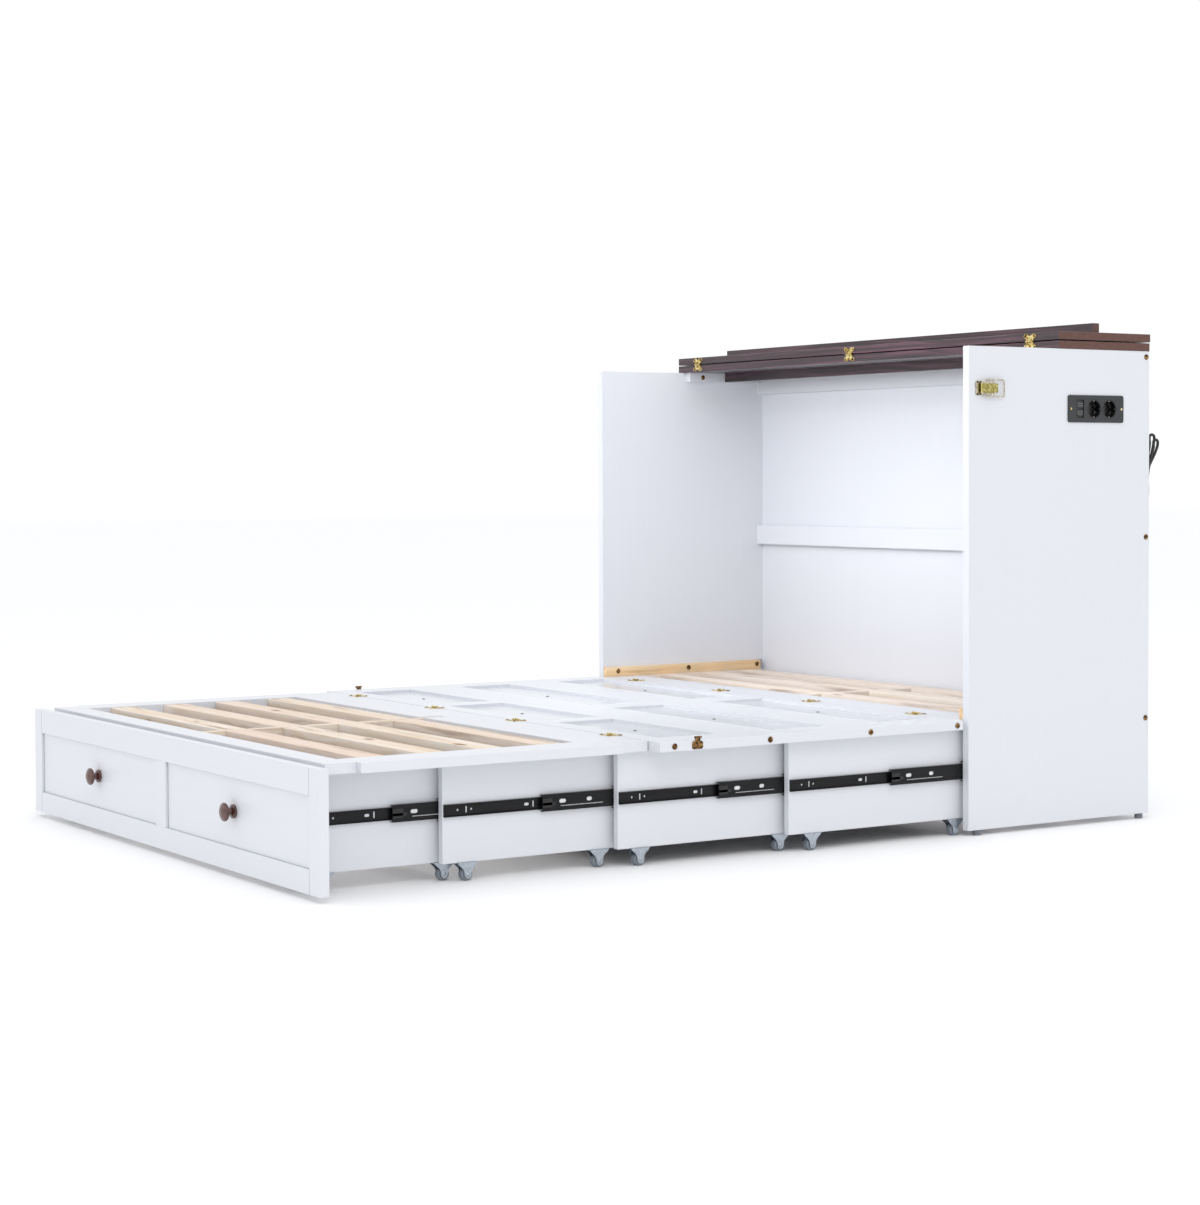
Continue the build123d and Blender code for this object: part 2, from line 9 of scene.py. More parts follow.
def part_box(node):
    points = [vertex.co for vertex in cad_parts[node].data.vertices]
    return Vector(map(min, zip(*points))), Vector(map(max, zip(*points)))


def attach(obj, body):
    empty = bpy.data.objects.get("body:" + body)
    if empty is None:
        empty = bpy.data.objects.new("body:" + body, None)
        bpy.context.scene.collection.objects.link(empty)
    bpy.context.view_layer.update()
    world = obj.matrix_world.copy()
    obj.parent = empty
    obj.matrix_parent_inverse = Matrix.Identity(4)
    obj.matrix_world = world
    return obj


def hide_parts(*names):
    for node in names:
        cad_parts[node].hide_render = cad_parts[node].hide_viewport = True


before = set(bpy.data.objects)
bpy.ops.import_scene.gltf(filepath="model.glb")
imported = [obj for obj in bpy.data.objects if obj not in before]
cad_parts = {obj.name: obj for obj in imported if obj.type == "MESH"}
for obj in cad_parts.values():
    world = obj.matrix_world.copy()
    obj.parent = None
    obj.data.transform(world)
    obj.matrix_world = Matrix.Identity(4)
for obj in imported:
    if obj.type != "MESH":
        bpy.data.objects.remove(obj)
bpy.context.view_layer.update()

# ---------------------------------------------------------------------------------------------
# The room and the viewpoint: a pale seamless floor under large soft lamps, looked at through a
# long lens from the right of the foot end, at about the height of a seated person's eyes.

CABINET_FRONT = 516.5  # where the cabinet's front edge lies along Y, in mm; all sizes below count from it


def at(x, y, z):
    """A point given in mm from the cabinet's front edge, in metres in the model's frame."""
    return Vector((x, y + CABINET_FRONT, z)) / 1000


def linear(hex_colour):
    """sRGB hex to linear red, green, blue and alpha."""
    parts = [int(hex_colour[i:i + 2], 16) / 255 for i in (1, 3, 5)]
    return [p / 12.92 if p <= 0.04045 else ((p + 0.055) / 1.055) ** 2.4 for p in parts] + [1.0]


def add(material, kind, links=None, **settings):
    """Adds a node. Settings are its attributes; links feed its inputs with a value or from a socket."""
    made = material.node_tree.nodes.new(kind)
    for name, value in settings.items():
        setattr(made, name, value)
    for name, value in (links or {}).items():
        if isinstance(value, bpy.types.NodeSocket):
            material.node_tree.links.new(value, made.inputs[name])
        else:
            made.inputs[name].default_value = value
    return made


def new_material(name):
    """An empty material, ready for its nodes."""
    material = bpy.data.materials.new(name)
    material.use_nodes = True
    material.node_tree.nodes.clear()
    return material


def surface(material, **inputs):
    """Closes a material with one shader; underscores in a name stand for spaces."""
    shader = add(material, "ShaderNodeBsdfPrincipled", {k.replace("_", " "): v for k, v in inputs.items()})
    add(material, "ShaderNodeOutputMaterial", {"Surface": shader.outputs[0]})
    return material


LENS_MM = 75.056
FILM_MM = 36.0
SHIFT = (0.0110, -0.04128)
EYE = (4813.8, -3566.1, 772.2)
VIEW_TURN, VIEW_DIP, VIEW_ROLL = (math.radians(a) for a in (57.52, 1.715, -0.228))

camera = bpy.data.objects.new("camera", bpy.data.cameras.new("camera"))
bpy.context.scene.collection.objects.link(camera)
camera.data.lens = LENS_MM
camera.data.sensor_width = FILM_MM
camera.data.shift_x, camera.data.shift_y = SHIFT
camera.data.clip_end = 100
camera.matrix_world = (
    Matrix.Translation(at(*EYE))
    @ Matrix.Rotation(VIEW_TURN, 4, "Z")
    @ Matrix.Rotation(math.pi / 2 - VIEW_DIP, 4, "X")
    @ Matrix.Rotation(VIEW_ROLL, 4, "Z")
)
bpy.context.scene.camera = camera
bpy.context.scene.view_settings.view_transform = "Standard"


def lamp(name, place, target, size, power, colour, spread=180):
    """A round softbox at a point in metres, aimed at another, with its power in watts."""
    light = bpy.data.lights.new(name, "AREA")
    light.shape = "DISK"
    light.size = size
    light.energy = power
    light.spread = math.radians(spread)
    light.color = linear(colour)[:3]
    holder = bpy.data.objects.new(name, light)
    bpy.context.scene.collection.objects.link(holder)
    holder.location = place
    holder.visible_camera = False
    holder.rotation_euler = (Vector(target) - Vector(place)).to_track_quat("-Z", "Y").to_euler()


# the last lamp is small and weak, and lights only the inside of the open cabinet
lamp("key_softbox", (4.6, -2.6, 4.4), (0, 0, 0.4), 2.4, 46, "#fffdf8")
lamp("front_softbox", (-2.2, -5.6, 2.6), (0, 0, 0.4), 2.2, 8, "#f2f6ff")
lamp("top_softbox", (0.6, 0.2, 5.2), (0, 0, 0), 3.0, 22, "#ffffff")
lamp("cabinet_fill", (0.2, -0.55, 1.25), (-0.1, 1.0, 0.72), 0.9, 4.6, "#f8faff", 95)

sky = bpy.data.worlds.new("studio")
sky.use_nodes = True
sky.node_tree.nodes["Background"].inputs["Color"].default_value = linear("#fafbfd")
sky.node_tree.nodes["Background"].inputs["Strength"].default_value = 1.06
bpy.context.scene.world = sky

studio_paper = new_material("studio_paper")
surface(studio_paper, Base_Color=linear("#fbfbfb"), Roughness=0.9)
floor_mesh = bpy.data.meshes.new("floor")
FLOOR_REACH = 40
floor_corners = [(x * FLOOR_REACH, y * FLOOR_REACH, 0) for x, y in ((-1, -1), (1, -1), (1, 1), (-1, 1))]
floor_mesh.from_pydata(floor_corners, [], [(0, 1, 2, 3)])
floor = bpy.data.objects.new("floor", floor_mesh)
floor.data.materials.append(studio_paper)
bpy.context.scene.collection.objects.link(floor)

# ---------------------------------------------------------------------------------------------
# The mains lead: round black flexible PVC cord, moulded on to a ribbed sleeve at the outlet on the
# back, folded into a hank behind the right rear edge and tied, with a round two-pin plug below it.

CORD_D = 6.5
LEAD = [(688, 545, 880), (688, 545, 861), (687, 547, 839), (688, 549, 816), (688, 549, 795)]
WAIST_Z = 775
RELEASE = [(693, 566, 730), (689, 564, 706)]  # down past the lower folds
TAIL = [
    (684, 556, 684), (684, 556, 664), (679, 557, 645),
    (671, 559, 627), (668, 560, 607), (668, 560, 590),
]
FILES = (668, 674.5, 681, 687.5, 694)  # X of the upper folds, side by side
UP_ROW, DOWN_ROW, LEAD_ROW = 550.5, 561.5, 543.8  # Y of the cords where the tie gathers them
# each upper fold: Y and Z of its middle, and its radius; the last two lean away from the cabinet
UPPER_FOLDS = [(556, 838, 8), (557, 830, 8), (558, 843, 8), (594.5, 845, 8), (576, 855, 9.2)]
LOWER_FOLDS_Z = (701, 722, 714, 722, 714)
LOWER_RADIUS = 8


def fold(middle, way, radius, up):
    """Control points round one end of the hank: a loop that opens out of a narrower neck."""
    outline = [(-0.55 * radius, -1.7 * radius)]
    for turn in (150, 90, 30):
        reach = radius / math.cos(math.radians(30))
        outline += [(reach * math.cos(math.radians(turn)), reach * math.sin(math.radians(turn)))]
    outline += [(0.55 * radius, -1.7 * radius)]
    across = Vector(way).normalized()
    return [(middle[0] + across.x * u, middle[1] + across.y * u, middle[2] + up * v) for u, v in outline]


def moulded(name, colour, roughness):
    """A moulded plastic: one colour with a satin sheen and an orange-peel skin about 1 mm across."""
    material = new_material(name)
    place = add(material, "ShaderNodeTexCoord")
    peel = add(
        material, "ShaderNodeTexNoise", {"Vector": place.outputs["Object"], "Scale": 900.0, "Detail": 2.0},
    )
    bump = add(material, "ShaderNodeBump", {"Height": peel.outputs[0], "Strength": 0.12, "Distance": 0.0003})
    return surface(
        material, Base_Color=linear(colour), Roughness=roughness, IOR=1.53, Normal=bump.outputs[0],
    )


cord_pvc = moulded("cord_pvc_black", "#101011", 0.42)


def finished(name, mesh_or_curve, material, body):
    """Links a new piece, gives it its material, and makes it ride on its body."""
    piece = bpy.data.objects.new(name, mesh_or_curve)
    bpy.context.scene.collection.objects.link(piece)
    piece.data.materials.append(material)
    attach(piece, body)
    return piece


def from_bmesh(name, bm, material, body, smooth_angle=40):
    """Turns a bmesh in metres into a finished piece with smooth faces and crisp edges."""
    mesh = bpy.data.meshes.new(name)
    bmesh.ops.recalc_face_normals(bm, faces=bm.faces)
    bm.to_mesh(mesh)
    bm.free()
    mesh.shade_smooth()
    mesh.set_sharp_from_angle(angle=math.radians(smooth_angle))
    return finished(name, mesh, material, body)


def lathe(bm, profile, frame_matrix, steps=32):
    """Turns a profile of (radius, height) in mm round the Z axis of frame_matrix."""
    rings = []
    for radius, height in profile:
        if radius < 1e-6:
            rings.append([bm.verts.new(frame_matrix @ Vector((0, 0, height / 1000)))])
            continue
        ring = []
        for i in range(steps):
            a = 2 * math.pi * i / steps
            ring.append(bm.verts.new(frame_matrix @ Vector((
                radius * math.cos(a) / 1000, radius * math.sin(a) / 1000, height / 1000))))
        rings.append(ring)
    for low, high in zip(rings, rings[1:]):
        for i in range(steps):
            j = (i + 1) % steps
            corners = [low[i % len(low)], low[j % len(low)], high[j % len(high)], high[i % len(high)]]
            bm.faces.new(list(dict.fromkeys(corners)))
    return rings


def aimed(place, direction):
    """A frame at a point, with its Z axis along a direction."""
    return Matrix.Translation(place) @ Vector(direction).to_track_quat("Z", "Y").to_matrix().to_4x4()


route = list(LEAD)
down = Vector((685, LEAD_ROW))
for x, (y, z, radius), low in zip(FILES, UPPER_FOLDS, LOWER_FOLDS_Z):
    up = Vector((x, UP_ROW))
    route += [(*down, WAIST_Z)]
    route += fold((*(down + up) / 2, low), up - down, LOWER_RADIUS, -1)
    route += [(*up, WAIST_Z)]
    route += fold((x, y, z), (0, 1), radius, 1)
    down = Vector((x, DOWN_ROW))
route += [(*down, WAIST_Z)] + RELEASE + TAIL

curve = bpy.data.curves.new("mains_lead", "CURVE")
curve.dimensions = "3D"
curve.bevel_depth = CORD_D / 2000
curve.bevel_resolution = 5
curve.resolution_u = 10
curve.use_fill_caps = True
spline = curve.splines.new("NURBS")
spline.points.add(len(route) - 1)
for point, place in zip(spline.points, route):
    point.co = (*at(*place), 1.0)
spline.order_u = 3
spline.use_endpoint_u = True
mains_lead = finished("mains_lead", curve, cord_pvc, "cabinet")
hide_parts("cord_lead", "cord_hank")

# ribbed sleeve, tapering down the cord from the outlet's neck
DOWNWARDS = (0, 0, -1)
SLEEVE_BORE, SLEEVE_LENGTH = 3.3, 28
RIBS, RIB_PITCH, RIB_RADIUS, RIB_TAPER, GROOVE = 6, 4.2, 5.4, 0.32, 0.9
sleeve = bmesh.new()
profile = [(SLEEVE_BORE, 0), (5.6, 0)]
for rib in range(RIBS):
    top, wide = 1.5 + rib * RIB_PITCH, RIB_RADIUS - rib * RIB_TAPER
    profile += [(wide, top), (wide, top + 2.2), (wide - GROOVE, top + 2.7), (wide - GROOVE, top + 3.7)]
profile += [(3.7, SLEEVE_LENGTH), (SLEEVE_BORE, SLEEVE_LENGTH)]
lathe(sleeve, profile, aimed(at(*LEAD[0]), DOWNWARDS))
strain_sleeve = from_bmesh("cord_strain_sleeve", sleeve, cord_pvc, "cabinet")

# hook-and-loop tie round the waist of the hank
tie = bmesh.new()
BAND = [(664, 543), (667, 540), (695, 540), (698, 543), (698, 563), (695, 566), (667, 566), (664, 563)]
BAND_MIDDLE = Vector((681, 553))
BAND_SECTION = ((-0.9, 768), (-0.2, 768.6), (-0.2, 781.4), (-0.9, 782))  # how far out at each height
rings = []
for out, z in BAND_SECTION:
    ring = []
    for x, y in BAND:
        away = (Vector((x, y)) - BAND_MIDDLE).normalized() * out
        ring.append(tie.verts.new(at(x + away.x, y + away.y, z)))
    rings.append(ring)
for low, high in zip(rings, rings[1:] + rings[:1]):
    for i in range(len(BAND)):
        j = (i + 1) % len(BAND)
        tie.faces.new((low[i], low[j], high[j], high[i]))
hank_tie = from_bmesh("hank_tie", tie, cord_pvc, "cabinet")

# plug: round body with a waist for the fingers, a ribbed neck and two plated pins
PLUG_X, PLUG_Y, PLUG_TOP = TAIL[-1]
PLUG_BODY = [
    (0, -4), (3.4, -4), (5.0, 0), (5.2, 3), (4.4, 3.6), (5.6, 4.4), (5.8, 7), (5.0, 7.6), (6.4, 8.4),
    (7.2, 11), (12, 13), (16.5, 15), (18, 18), (17.4, 22), (17.4, 27), (18.2, 31), (18.2, 35.2),
    (17.6, 36), (0, 36),
]
PIN = [(0, 35), (2.4, 35), (2.4, 53), (1.6, 55), (0, 55)]
PIN_SPREAD = 9.5
plug = bmesh.new()
lathe(plug, PLUG_BODY, aimed(at(PLUG_X, PLUG_Y, PLUG_TOP), DOWNWARDS), 48)
cord_plug_body = from_bmesh("cord_plug_body", plug, cord_pvc, "cabinet")
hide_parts("cord_plug")

plated_steel = new_material("nickel_plated_pins")
surface(plated_steel, Base_Color=linear("#b9b6ae"), Metallic=1.0, Roughness=0.24)
pins = bmesh.new()
for dx in (-PIN_SPREAD, PIN_SPREAD):
    lathe(pins, PIN, aimed(at(PLUG_X + dx, PLUG_Y, PLUG_TOP), DOWNWARDS), 20)
cord_plug_pins = from_bmesh("cord_plug_pins", pins, plated_steel, "cabinet")


def paint(material, *nodes):
    """Gives CAD nodes their material."""
    for name in nodes:
        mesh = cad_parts[name].data
        mesh.materials.clear()
        mesh.materials.append(material)


outlet_pvc = moulded("outlet_housing_black", "#1a1a1b", 0.5)
paint(outlet_pvc, "cord_outlet")

# ---------------------------------------------------------------------------------------------
# Cabinet, decks, drawer front and base boards: solid pine and board, filled, sanded and sprayed
# with white satin lacquer, so the grain is only felt as faint long lines under the paint.

LACQUER, LACQUER_THIN = "#dcdee3", "#dbdde2"


def white_lacquer(name, grain_axis):
    """Sprayed satin lacquer: cool white, a soft sheen, grain only just felt along the board."""
    material = new_material(name)
    place = add(material, "ShaderNodeTexCoord")
    stretch = [3.0 if i == grain_axis else 130.0 for i in range(3)]  # lines about 8 mm apart, 300 mm long
    along = add(material, "ShaderNodeMapping", {"Vector": place.outputs["Object"], "Scale": stretch})
    grain = add(material, "ShaderNodeTexNoise", {"Vector": along.outputs[0], "Scale": 1.0, "Detail": 4.0})
    cloud = add(
        material, "ShaderNodeTexNoise", {"Vector": place.outputs["Object"], "Scale": 3.5, "Detail": 2.0},
    )
    peel = add(
        material, "ShaderNodeTexNoise", {"Vector": place.outputs["Object"], "Scale": 420.0, "Detail": 2.0},
    )
    tone = add(material, "ShaderNodeValToRGB", {0: grain.outputs[0]})
    tone.color_ramp.elements[0].position = 0.25
    tone.color_ramp.elements[0].color = linear(LACQUER_THIN)
    tone.color_ramp.elements[1].position = 0.6
    tone.color_ramp.elements[1].color = linear(LACQUER)
    sheen = add(material, "ShaderNodeMapRange", {0: cloud.outputs[0], 3: 0.33, 4: 0.43})
    relief = add(material, "ShaderNodeMath", {0: grain.outputs[0], 1: 0.03}, operation="MULTIPLY")
    height = add(material, "ShaderNodeMath", {0: relief.outputs[0], 1: peel.outputs[0]}, operation="ADD")
    bump = add(
        material, "ShaderNodeBump", {"Height": height.outputs[0], "Strength": 0.06, "Distance": 0.0004},
    )
    return surface(
        material, Base_Color=tone.outputs[0], Roughness=sheen.outputs[0], IOR=1.5, Normal=bump.outputs[0],
    )


lacquer_along_x = white_lacquer("white_lacquer_grain_across", 0)
lacquer_along_y = white_lacquer("white_lacquer_grain_lengthways", 1)
lacquer_along_z = white_lacquer("white_lacquer_grain_upright", 2)
paint(lacquer_along_z, "side_panel_left", "side_panel_right", "back_panel")
paint(lacquer_along_x, "back_rails", "rear_deck_rail", "middle_frame", "front_frame", "drawer_front")
paint(
    lacquer_along_y, "top_cleats", "middle_strips", "section_1_box", "section_2_box", "section_3_box",
    "section_4_box",
)

# the middle deck's thin panels, rubbed down to a gloss, with a soft mottling some 250 mm across;
# their grey, darker than the frame's lacquer, is painted shade of the recess and a painted
# grey reflection
panel_gloss_and_painted_shade = new_material("white_gloss_lacquer_panels_painted_grey_shade")
place = add(panel_gloss_and_painted_shade, "ShaderNodeTexCoord")
cloud = add(
    panel_gloss_and_painted_shade, "ShaderNodeTexNoise", {"Vector": place.outputs["Object"], "Scale": 4.0, "Detail": 2.0},
)
# both greys are painted shade of the recess and painted grey reflection on the white lacquer
tone = add(panel_gloss_and_painted_shade, "ShaderNodeValToRGB", {0: cloud.outputs[0]})
tone.color_ramp.elements[0].position = 0.35
tone.color_ramp.elements[0].color = linear("#cacdd4")
tone.color_ramp.elements[1].position = 0.65
tone.color_ramp.elements[1].color = linear("#ced1d7")
sheen = add(panel_gloss_and_painted_shade, "ShaderNodeMapRange", {0: cloud.outputs[0], 3: 0.12, 4: 0.24})
surface(panel_gloss_and_painted_shade, Base_Color=tone.outputs[0], Roughness=sheen.outputs[0], IOR=1.5)
paint(panel_gloss_and_painted_shade, "middle_panels")

grey_nylon = moulded("grey_nylon_feet", "#6c7076", 0.5)
paint(grey_nylon, "cabinet_feet")

# ---------------------------------------------------------------------------------------------
# Folding top: two leaves of solid wood with aprons, stained to a dark walnut and clear-coated.
# The stain sinks deeper into the soft growth rings, which leaves long dark and reddish lines.

WALNUT_DARK, WALNUT_MID, WALNUT_LIGHT, WALNUT_END = "#1c1013", "#38222a", "#6b4452", "#66391f"


def stained_walnut(name):
    """Growth rings 7 to 13 mm apart along X, with pores drawn about 1 mm wide so that they show."""
    material = new_material(name)
    place = add(material, "ShaderNodeTexCoord")
    bend = add(
        material, "ShaderNodeTexNoise", {"Vector": place.outputs["Object"], "Scale": 2.2, "Detail": 1.0},
    )
    sway = add(
        material, "ShaderNodeVectorMath", {0: bend.outputs["Color"], 1: (0.02, 0.05, 0.05)},
        operation="MULTIPLY",
    )
    bent = add(
        material, "ShaderNodeVectorMath", {0: place.outputs["Object"], 1: sway.outputs[0]}, operation="ADD",
    )
    rings = add(material, "ShaderNodeMapping", {"Vector": bent.outputs[0], "Scale": (1.6, 75.0, 150.0)})
    figure = add(
        material, "ShaderNodeTexNoise",
        {"Vector": rings.outputs[0], "Scale": 1.0, "Detail": 5.0, "Roughness": 0.62},
    )
    pore_place = add(
        material, "ShaderNodeMapping", {"Vector": bent.outputs[0], "Scale": (26.0, 1300.0, 1300.0)},
    )
    pores = add(
        material, "ShaderNodeTexNoise", {"Vector": pore_place.outputs[0], "Scale": 1.0, "Detail": 2.0},
    )
    tone = add(material, "ShaderNodeValToRGB", {0: figure.outputs[0]})
    tone.color_ramp.elements[0].position = 0.30
    tone.color_ramp.elements[0].color = linear(WALNUT_DARK)
    tone.color_ramp.elements[1].position = 0.72
    tone.color_ramp.elements[1].color = linear(WALNUT_LIGHT)
    middle = tone.color_ramp.elements.new(0.5)
    middle.color = linear(WALNUT_MID)
    pore_depth = add(material, "ShaderNodeMapRange", {0: pores.outputs[0], 1: 0.35, 2: 0.6, 3: 0.62, 4: 1.0})
    colour = add(
        material, "ShaderNodeMix", {0: 1.0, 6: tone.outputs[0], 7: pore_depth.outputs[0]},
        data_type="RGBA", blend_type="MULTIPLY",
    )
    facing = add(
        material, "ShaderNodeSeparateXYZ", {0: add(material, "ShaderNodeNewGeometry").outputs["Normal"]},
    )
    sideways = add(material, "ShaderNodeMath", {0: facing.outputs["X"]}, operation="ABSOLUTE")
    end_grain = add(material, "ShaderNodeMapRange", {0: sideways.outputs[0], 1: 0.7, 2: 0.9, 3: 0.0, 4: 0.6})
    ended = add(
        material, "ShaderNodeMix", {0: end_grain.outputs[0], 6: colour.outputs[2], 7: linear(WALNUT_END)},
        data_type="RGBA",
    )
    bump = add(
        material, "ShaderNodeBump", {"Height": pores.outputs[0], "Strength": 0.22, "Distance": 0.0005},
    )
    return surface(
        material, Base_Color=ended.outputs[2], Roughness=0.36, IOR=1.5,
        Coat_Weight=0.25, Coat_Roughness=0.2, Normal=bump.outputs[0],
    )


walnut = stained_walnut("walnut_stain_clear_coat")
paint(walnut, "top_rear_leaf", "top_front_leaf")

# ---------------------------------------------------------------------------------------------
# Slats, dividers and deck cleats: planed pine, left raw. Each board is its own: cream to straw
# yellow or rose, with grey and red-brown streaks along the grain and small knots.

FRONT_PINE = {
    "pale": "#eee5da", "straw": "#e0cbb0", "rose": "#dec4b4", "streak": "#9a8577", "knot": "#8a6046",
}
REAR_PINE = {
    "pale": "#f1e9df", "straw": "#e6d5c1", "rose": "#e4d0c4", "streak": "#9c877b", "knot": "#9a7460",
}
CLEAT_PINE = {
    "pale": "#f0dcb6", "straw": "#e0bb86", "rose": "#dfb78e", "streak": "#b08860", "knot": "#7d5233",
}


def raw_pine(name, grain_axis, wood):
    """Rings 11 mm apart along the grain axis, streaks 25 mm apart, knots 10 to 20 mm across."""
    material = new_material(name)
    place = add(material, "ShaderNodeTexCoord")
    board = add(material, "ShaderNodeAttribute", attribute_name="board")
    # each board's tag moves its grain to a place of its own, and further down picks how rosy it is
    apart = add(material, "ShaderNodeVectorMath", {0: (3.1, 5.7, 2.3)}, operation="SCALE")
    material.node_tree.links.new(board.outputs["Fac"], apart.inputs["Scale"])
    own = add(
        material, "ShaderNodeVectorMath", {0: place.outputs["Object"], 1: apart.outputs[0]}, operation="ADD",
    )
    bend = add(material, "ShaderNodeTexNoise", {"Vector": own.outputs[0], "Scale": 5.0, "Detail": 1.0})
    sway = add(
        material, "ShaderNodeVectorMath", {0: bend.outputs["Color"], 1: (0.03, 0.03, 0.03)},
        operation="MULTIPLY",
    )
    bent = add(material, "ShaderNodeVectorMath", {0: own.outputs[0], 1: sway.outputs[0]}, operation="ADD")

    def stretched(along, across):
        """The board's own coordinates, in features per metre along and across the grain."""
        scale = [along if i == grain_axis else across for i in range(3)]
        return add(material, "ShaderNodeMapping", {"Vector": bent.outputs[0], "Scale": scale}).outputs[0]

    rings = add(
        material, "ShaderNodeTexNoise",
        {"Vector": stretched(1.8, 90.0), "Scale": 1.0, "Detail": 4.0, "Roughness": 0.55},
    )
    fibre = add(
        material, "ShaderNodeTexNoise", {"Vector": stretched(14.0, 900.0), "Scale": 1.0, "Detail": 2.0},
    )
    streaks = add(
        material, "ShaderNodeTexNoise", {"Vector": stretched(2.6, 40.0), "Scale": 1.0, "Detail": 3.0},
    )
    knots = add(
        material, "ShaderNodeTexVoronoi", {"Vector": stretched(3.4, 9.0), "Scale": 1.0, "Randomness": 1.0},
    )
    tone = add(material, "ShaderNodeValToRGB", {0: rings.outputs[0]})
    tone.color_ramp.elements[0].position = 0.36
    tone.color_ramp.elements[0].color = linear(wood["pale"])
    tone.color_ramp.elements[1].position = 0.66
    tone.color_ramp.elements[1].color = linear(wood["straw"])
    hue = add(material, "ShaderNodeMath", {0: board.outputs["Fac"], 1: 7.13}, operation="MULTIPLY")
    share = add(material, "ShaderNodeMath", {0: hue.outputs[0]}, operation="FRACT")
    rose_share = add(material, "ShaderNodeMath", {0: share.outputs[0], 1: 0.55}, operation="MULTIPLY")
    rosy = add(
        material, "ShaderNodeMix", {0: rose_share.outputs[0], 6: tone.outputs[0], 7: linear(wood["rose"])},
        data_type="RGBA",
    )
    streak_mask = add(
        material, "ShaderNodeMapRange", {0: streaks.outputs[0], 1: 0.58, 2: 0.74, 3: 0.0, 4: 0.75},
    )
    streaked = add(
        material, "ShaderNodeMix",
        {0: streak_mask.outputs[0], 6: rosy.outputs[2], 7: linear(wood["streak"])}, data_type="RGBA",
    )
    knot_mask = add(
        material, "ShaderNodeMapRange", {0: knots.outputs["Distance"], 1: 0.05, 2: 0.10, 3: 0.85, 4: 0.0},
    )
    colour = add(
        material, "ShaderNodeMix",
        {0: knot_mask.outputs[0], 6: streaked.outputs[2], 7: linear(wood["knot"])}, data_type="RGBA",
    )
    bump = add(material, "ShaderNodeBump", {"Height": fibre.outputs[0], "Strength": 0.3, "Distance": 0.0006})
    return surface(material, Base_Color=colour.outputs[2], Roughness=0.72, IOR=1.5, Normal=bump.outputs[0])


front_pine = raw_pine("planed_pine_front_slats", 0, FRONT_PINE)
front_pine_lengthways = raw_pine("planed_pine_front_divider", 1, FRONT_PINE)
rear_pine = raw_pine("planed_pine_rear_slats", 0, REAR_PINE)
rear_pine_lengthways = raw_pine("planed_pine_rear_divider", 1, REAR_PINE)
cleat_pine = raw_pine("planed_pine_cleats", 1, CLEAT_PINE)


def block(bm, low, high, ease):
    """A block between two corners in mm, with rounded edges. Gives back its vertices."""
    a, b = at(*low), at(*high)
    place = Matrix.Translation((a + b) / 2) @ Matrix.Diagonal((*(b - a), 1))
    made = bmesh.ops.create_cube(bm, size=1.0, matrix=place)
    edges = {edge for vert in made["verts"] for edge in vert.link_edges}
    eased = bmesh.ops.bevel(
        bm, geom=list(edges), offset=ease / 1000, segments=2, profile=0.6, affect="EDGES",
    )
    return {vert for face in eased["faces"] for vert in face.verts}


def plank(bm, low, high, ease, tag):
    """One planed board; its tag tells it apart from other boards in the material."""
    layer = bm.verts.layers.float.get("board") or bm.verts.layers.float.new("board")
    for vert in block(bm, low, high, ease):
        vert[layer] = tag


SLAT_LOW, SLAT_TOP, DECK_TOP = 230, 248, 250
FRONT_SLATS_Y, FRONT_SLAT_WIDE, FRONT_SLAT_END = (-1400, -1271, -1140, -1007), 57, 625
REAR_SLATS_Y, REAR_SLAT_WIDE, REAR_SLAT_END = (160, 307, 440), 60, 695.5
DIVIDER, PANEL_INSIDE = 11, 711  # half the divider's width, and X of a side panel's inner face
FRONT_DIVIDER_Y, REAR_DIVIDER_Y = (-1455, -877), (98, 502)
CLEAT_X, CLEAT_Y, CLEAT_TOP = 696, (2, 502), 274
SLAT_EASE, DIVIDER_EASE, CLEAT_EASE = 1.4, 1.0, 1.6
board_tags = random.Random(11)

slats = bmesh.new()
for y in FRONT_SLATS_Y:
    for x0, x1 in ((-FRONT_SLAT_END, -DIVIDER), (DIVIDER, FRONT_SLAT_END)):
        plank(slats, (x0, y, SLAT_LOW), (x1, y + FRONT_SLAT_WIDE, SLAT_TOP), SLAT_EASE, board_tags.random())
front_deck_slats = from_bmesh("front_deck_slats", slats, front_pine, "front_deck")
divider = bmesh.new()
y0, y1 = FRONT_DIVIDER_Y
plank(divider, (-DIVIDER, y0, SLAT_LOW), (DIVIDER, y1, SLAT_TOP), DIVIDER_EASE, 0.31)
from_bmesh("front_deck_divider", divider, front_pine_lengthways, "front_deck")
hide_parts("front_slats")

slats = bmesh.new()
for y in REAR_SLATS_Y:
    for x0, x1 in ((-REAR_SLAT_END, -DIVIDER), (DIVIDER, REAR_SLAT_END)):
        plank(slats, (x0, y, SLAT_LOW), (x1, y + REAR_SLAT_WIDE, SLAT_TOP), SLAT_EASE, board_tags.random())
rear_slats = from_bmesh("rear_slats", slats, rear_pine, "cabinet")
divider = bmesh.new()
y0, y1 = REAR_DIVIDER_Y
plank(divider, (-DIVIDER, y0, SLAT_LOW), (DIVIDER, y1, SLAT_TOP), DIVIDER_EASE, 0.62)
for side in (-1, 1):
    x0, x1 = sorted((side * REAR_SLAT_END, side * PANEL_INSIDE))
    plank(divider, (x0, y0, SLAT_LOW), (x1, y1, DECK_TOP), DIVIDER_EASE, 0.4)
from_bmesh("rear_divider_and_ledges", divider, rear_pine_lengthways, "cabinet")
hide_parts("rear_deck_slats")

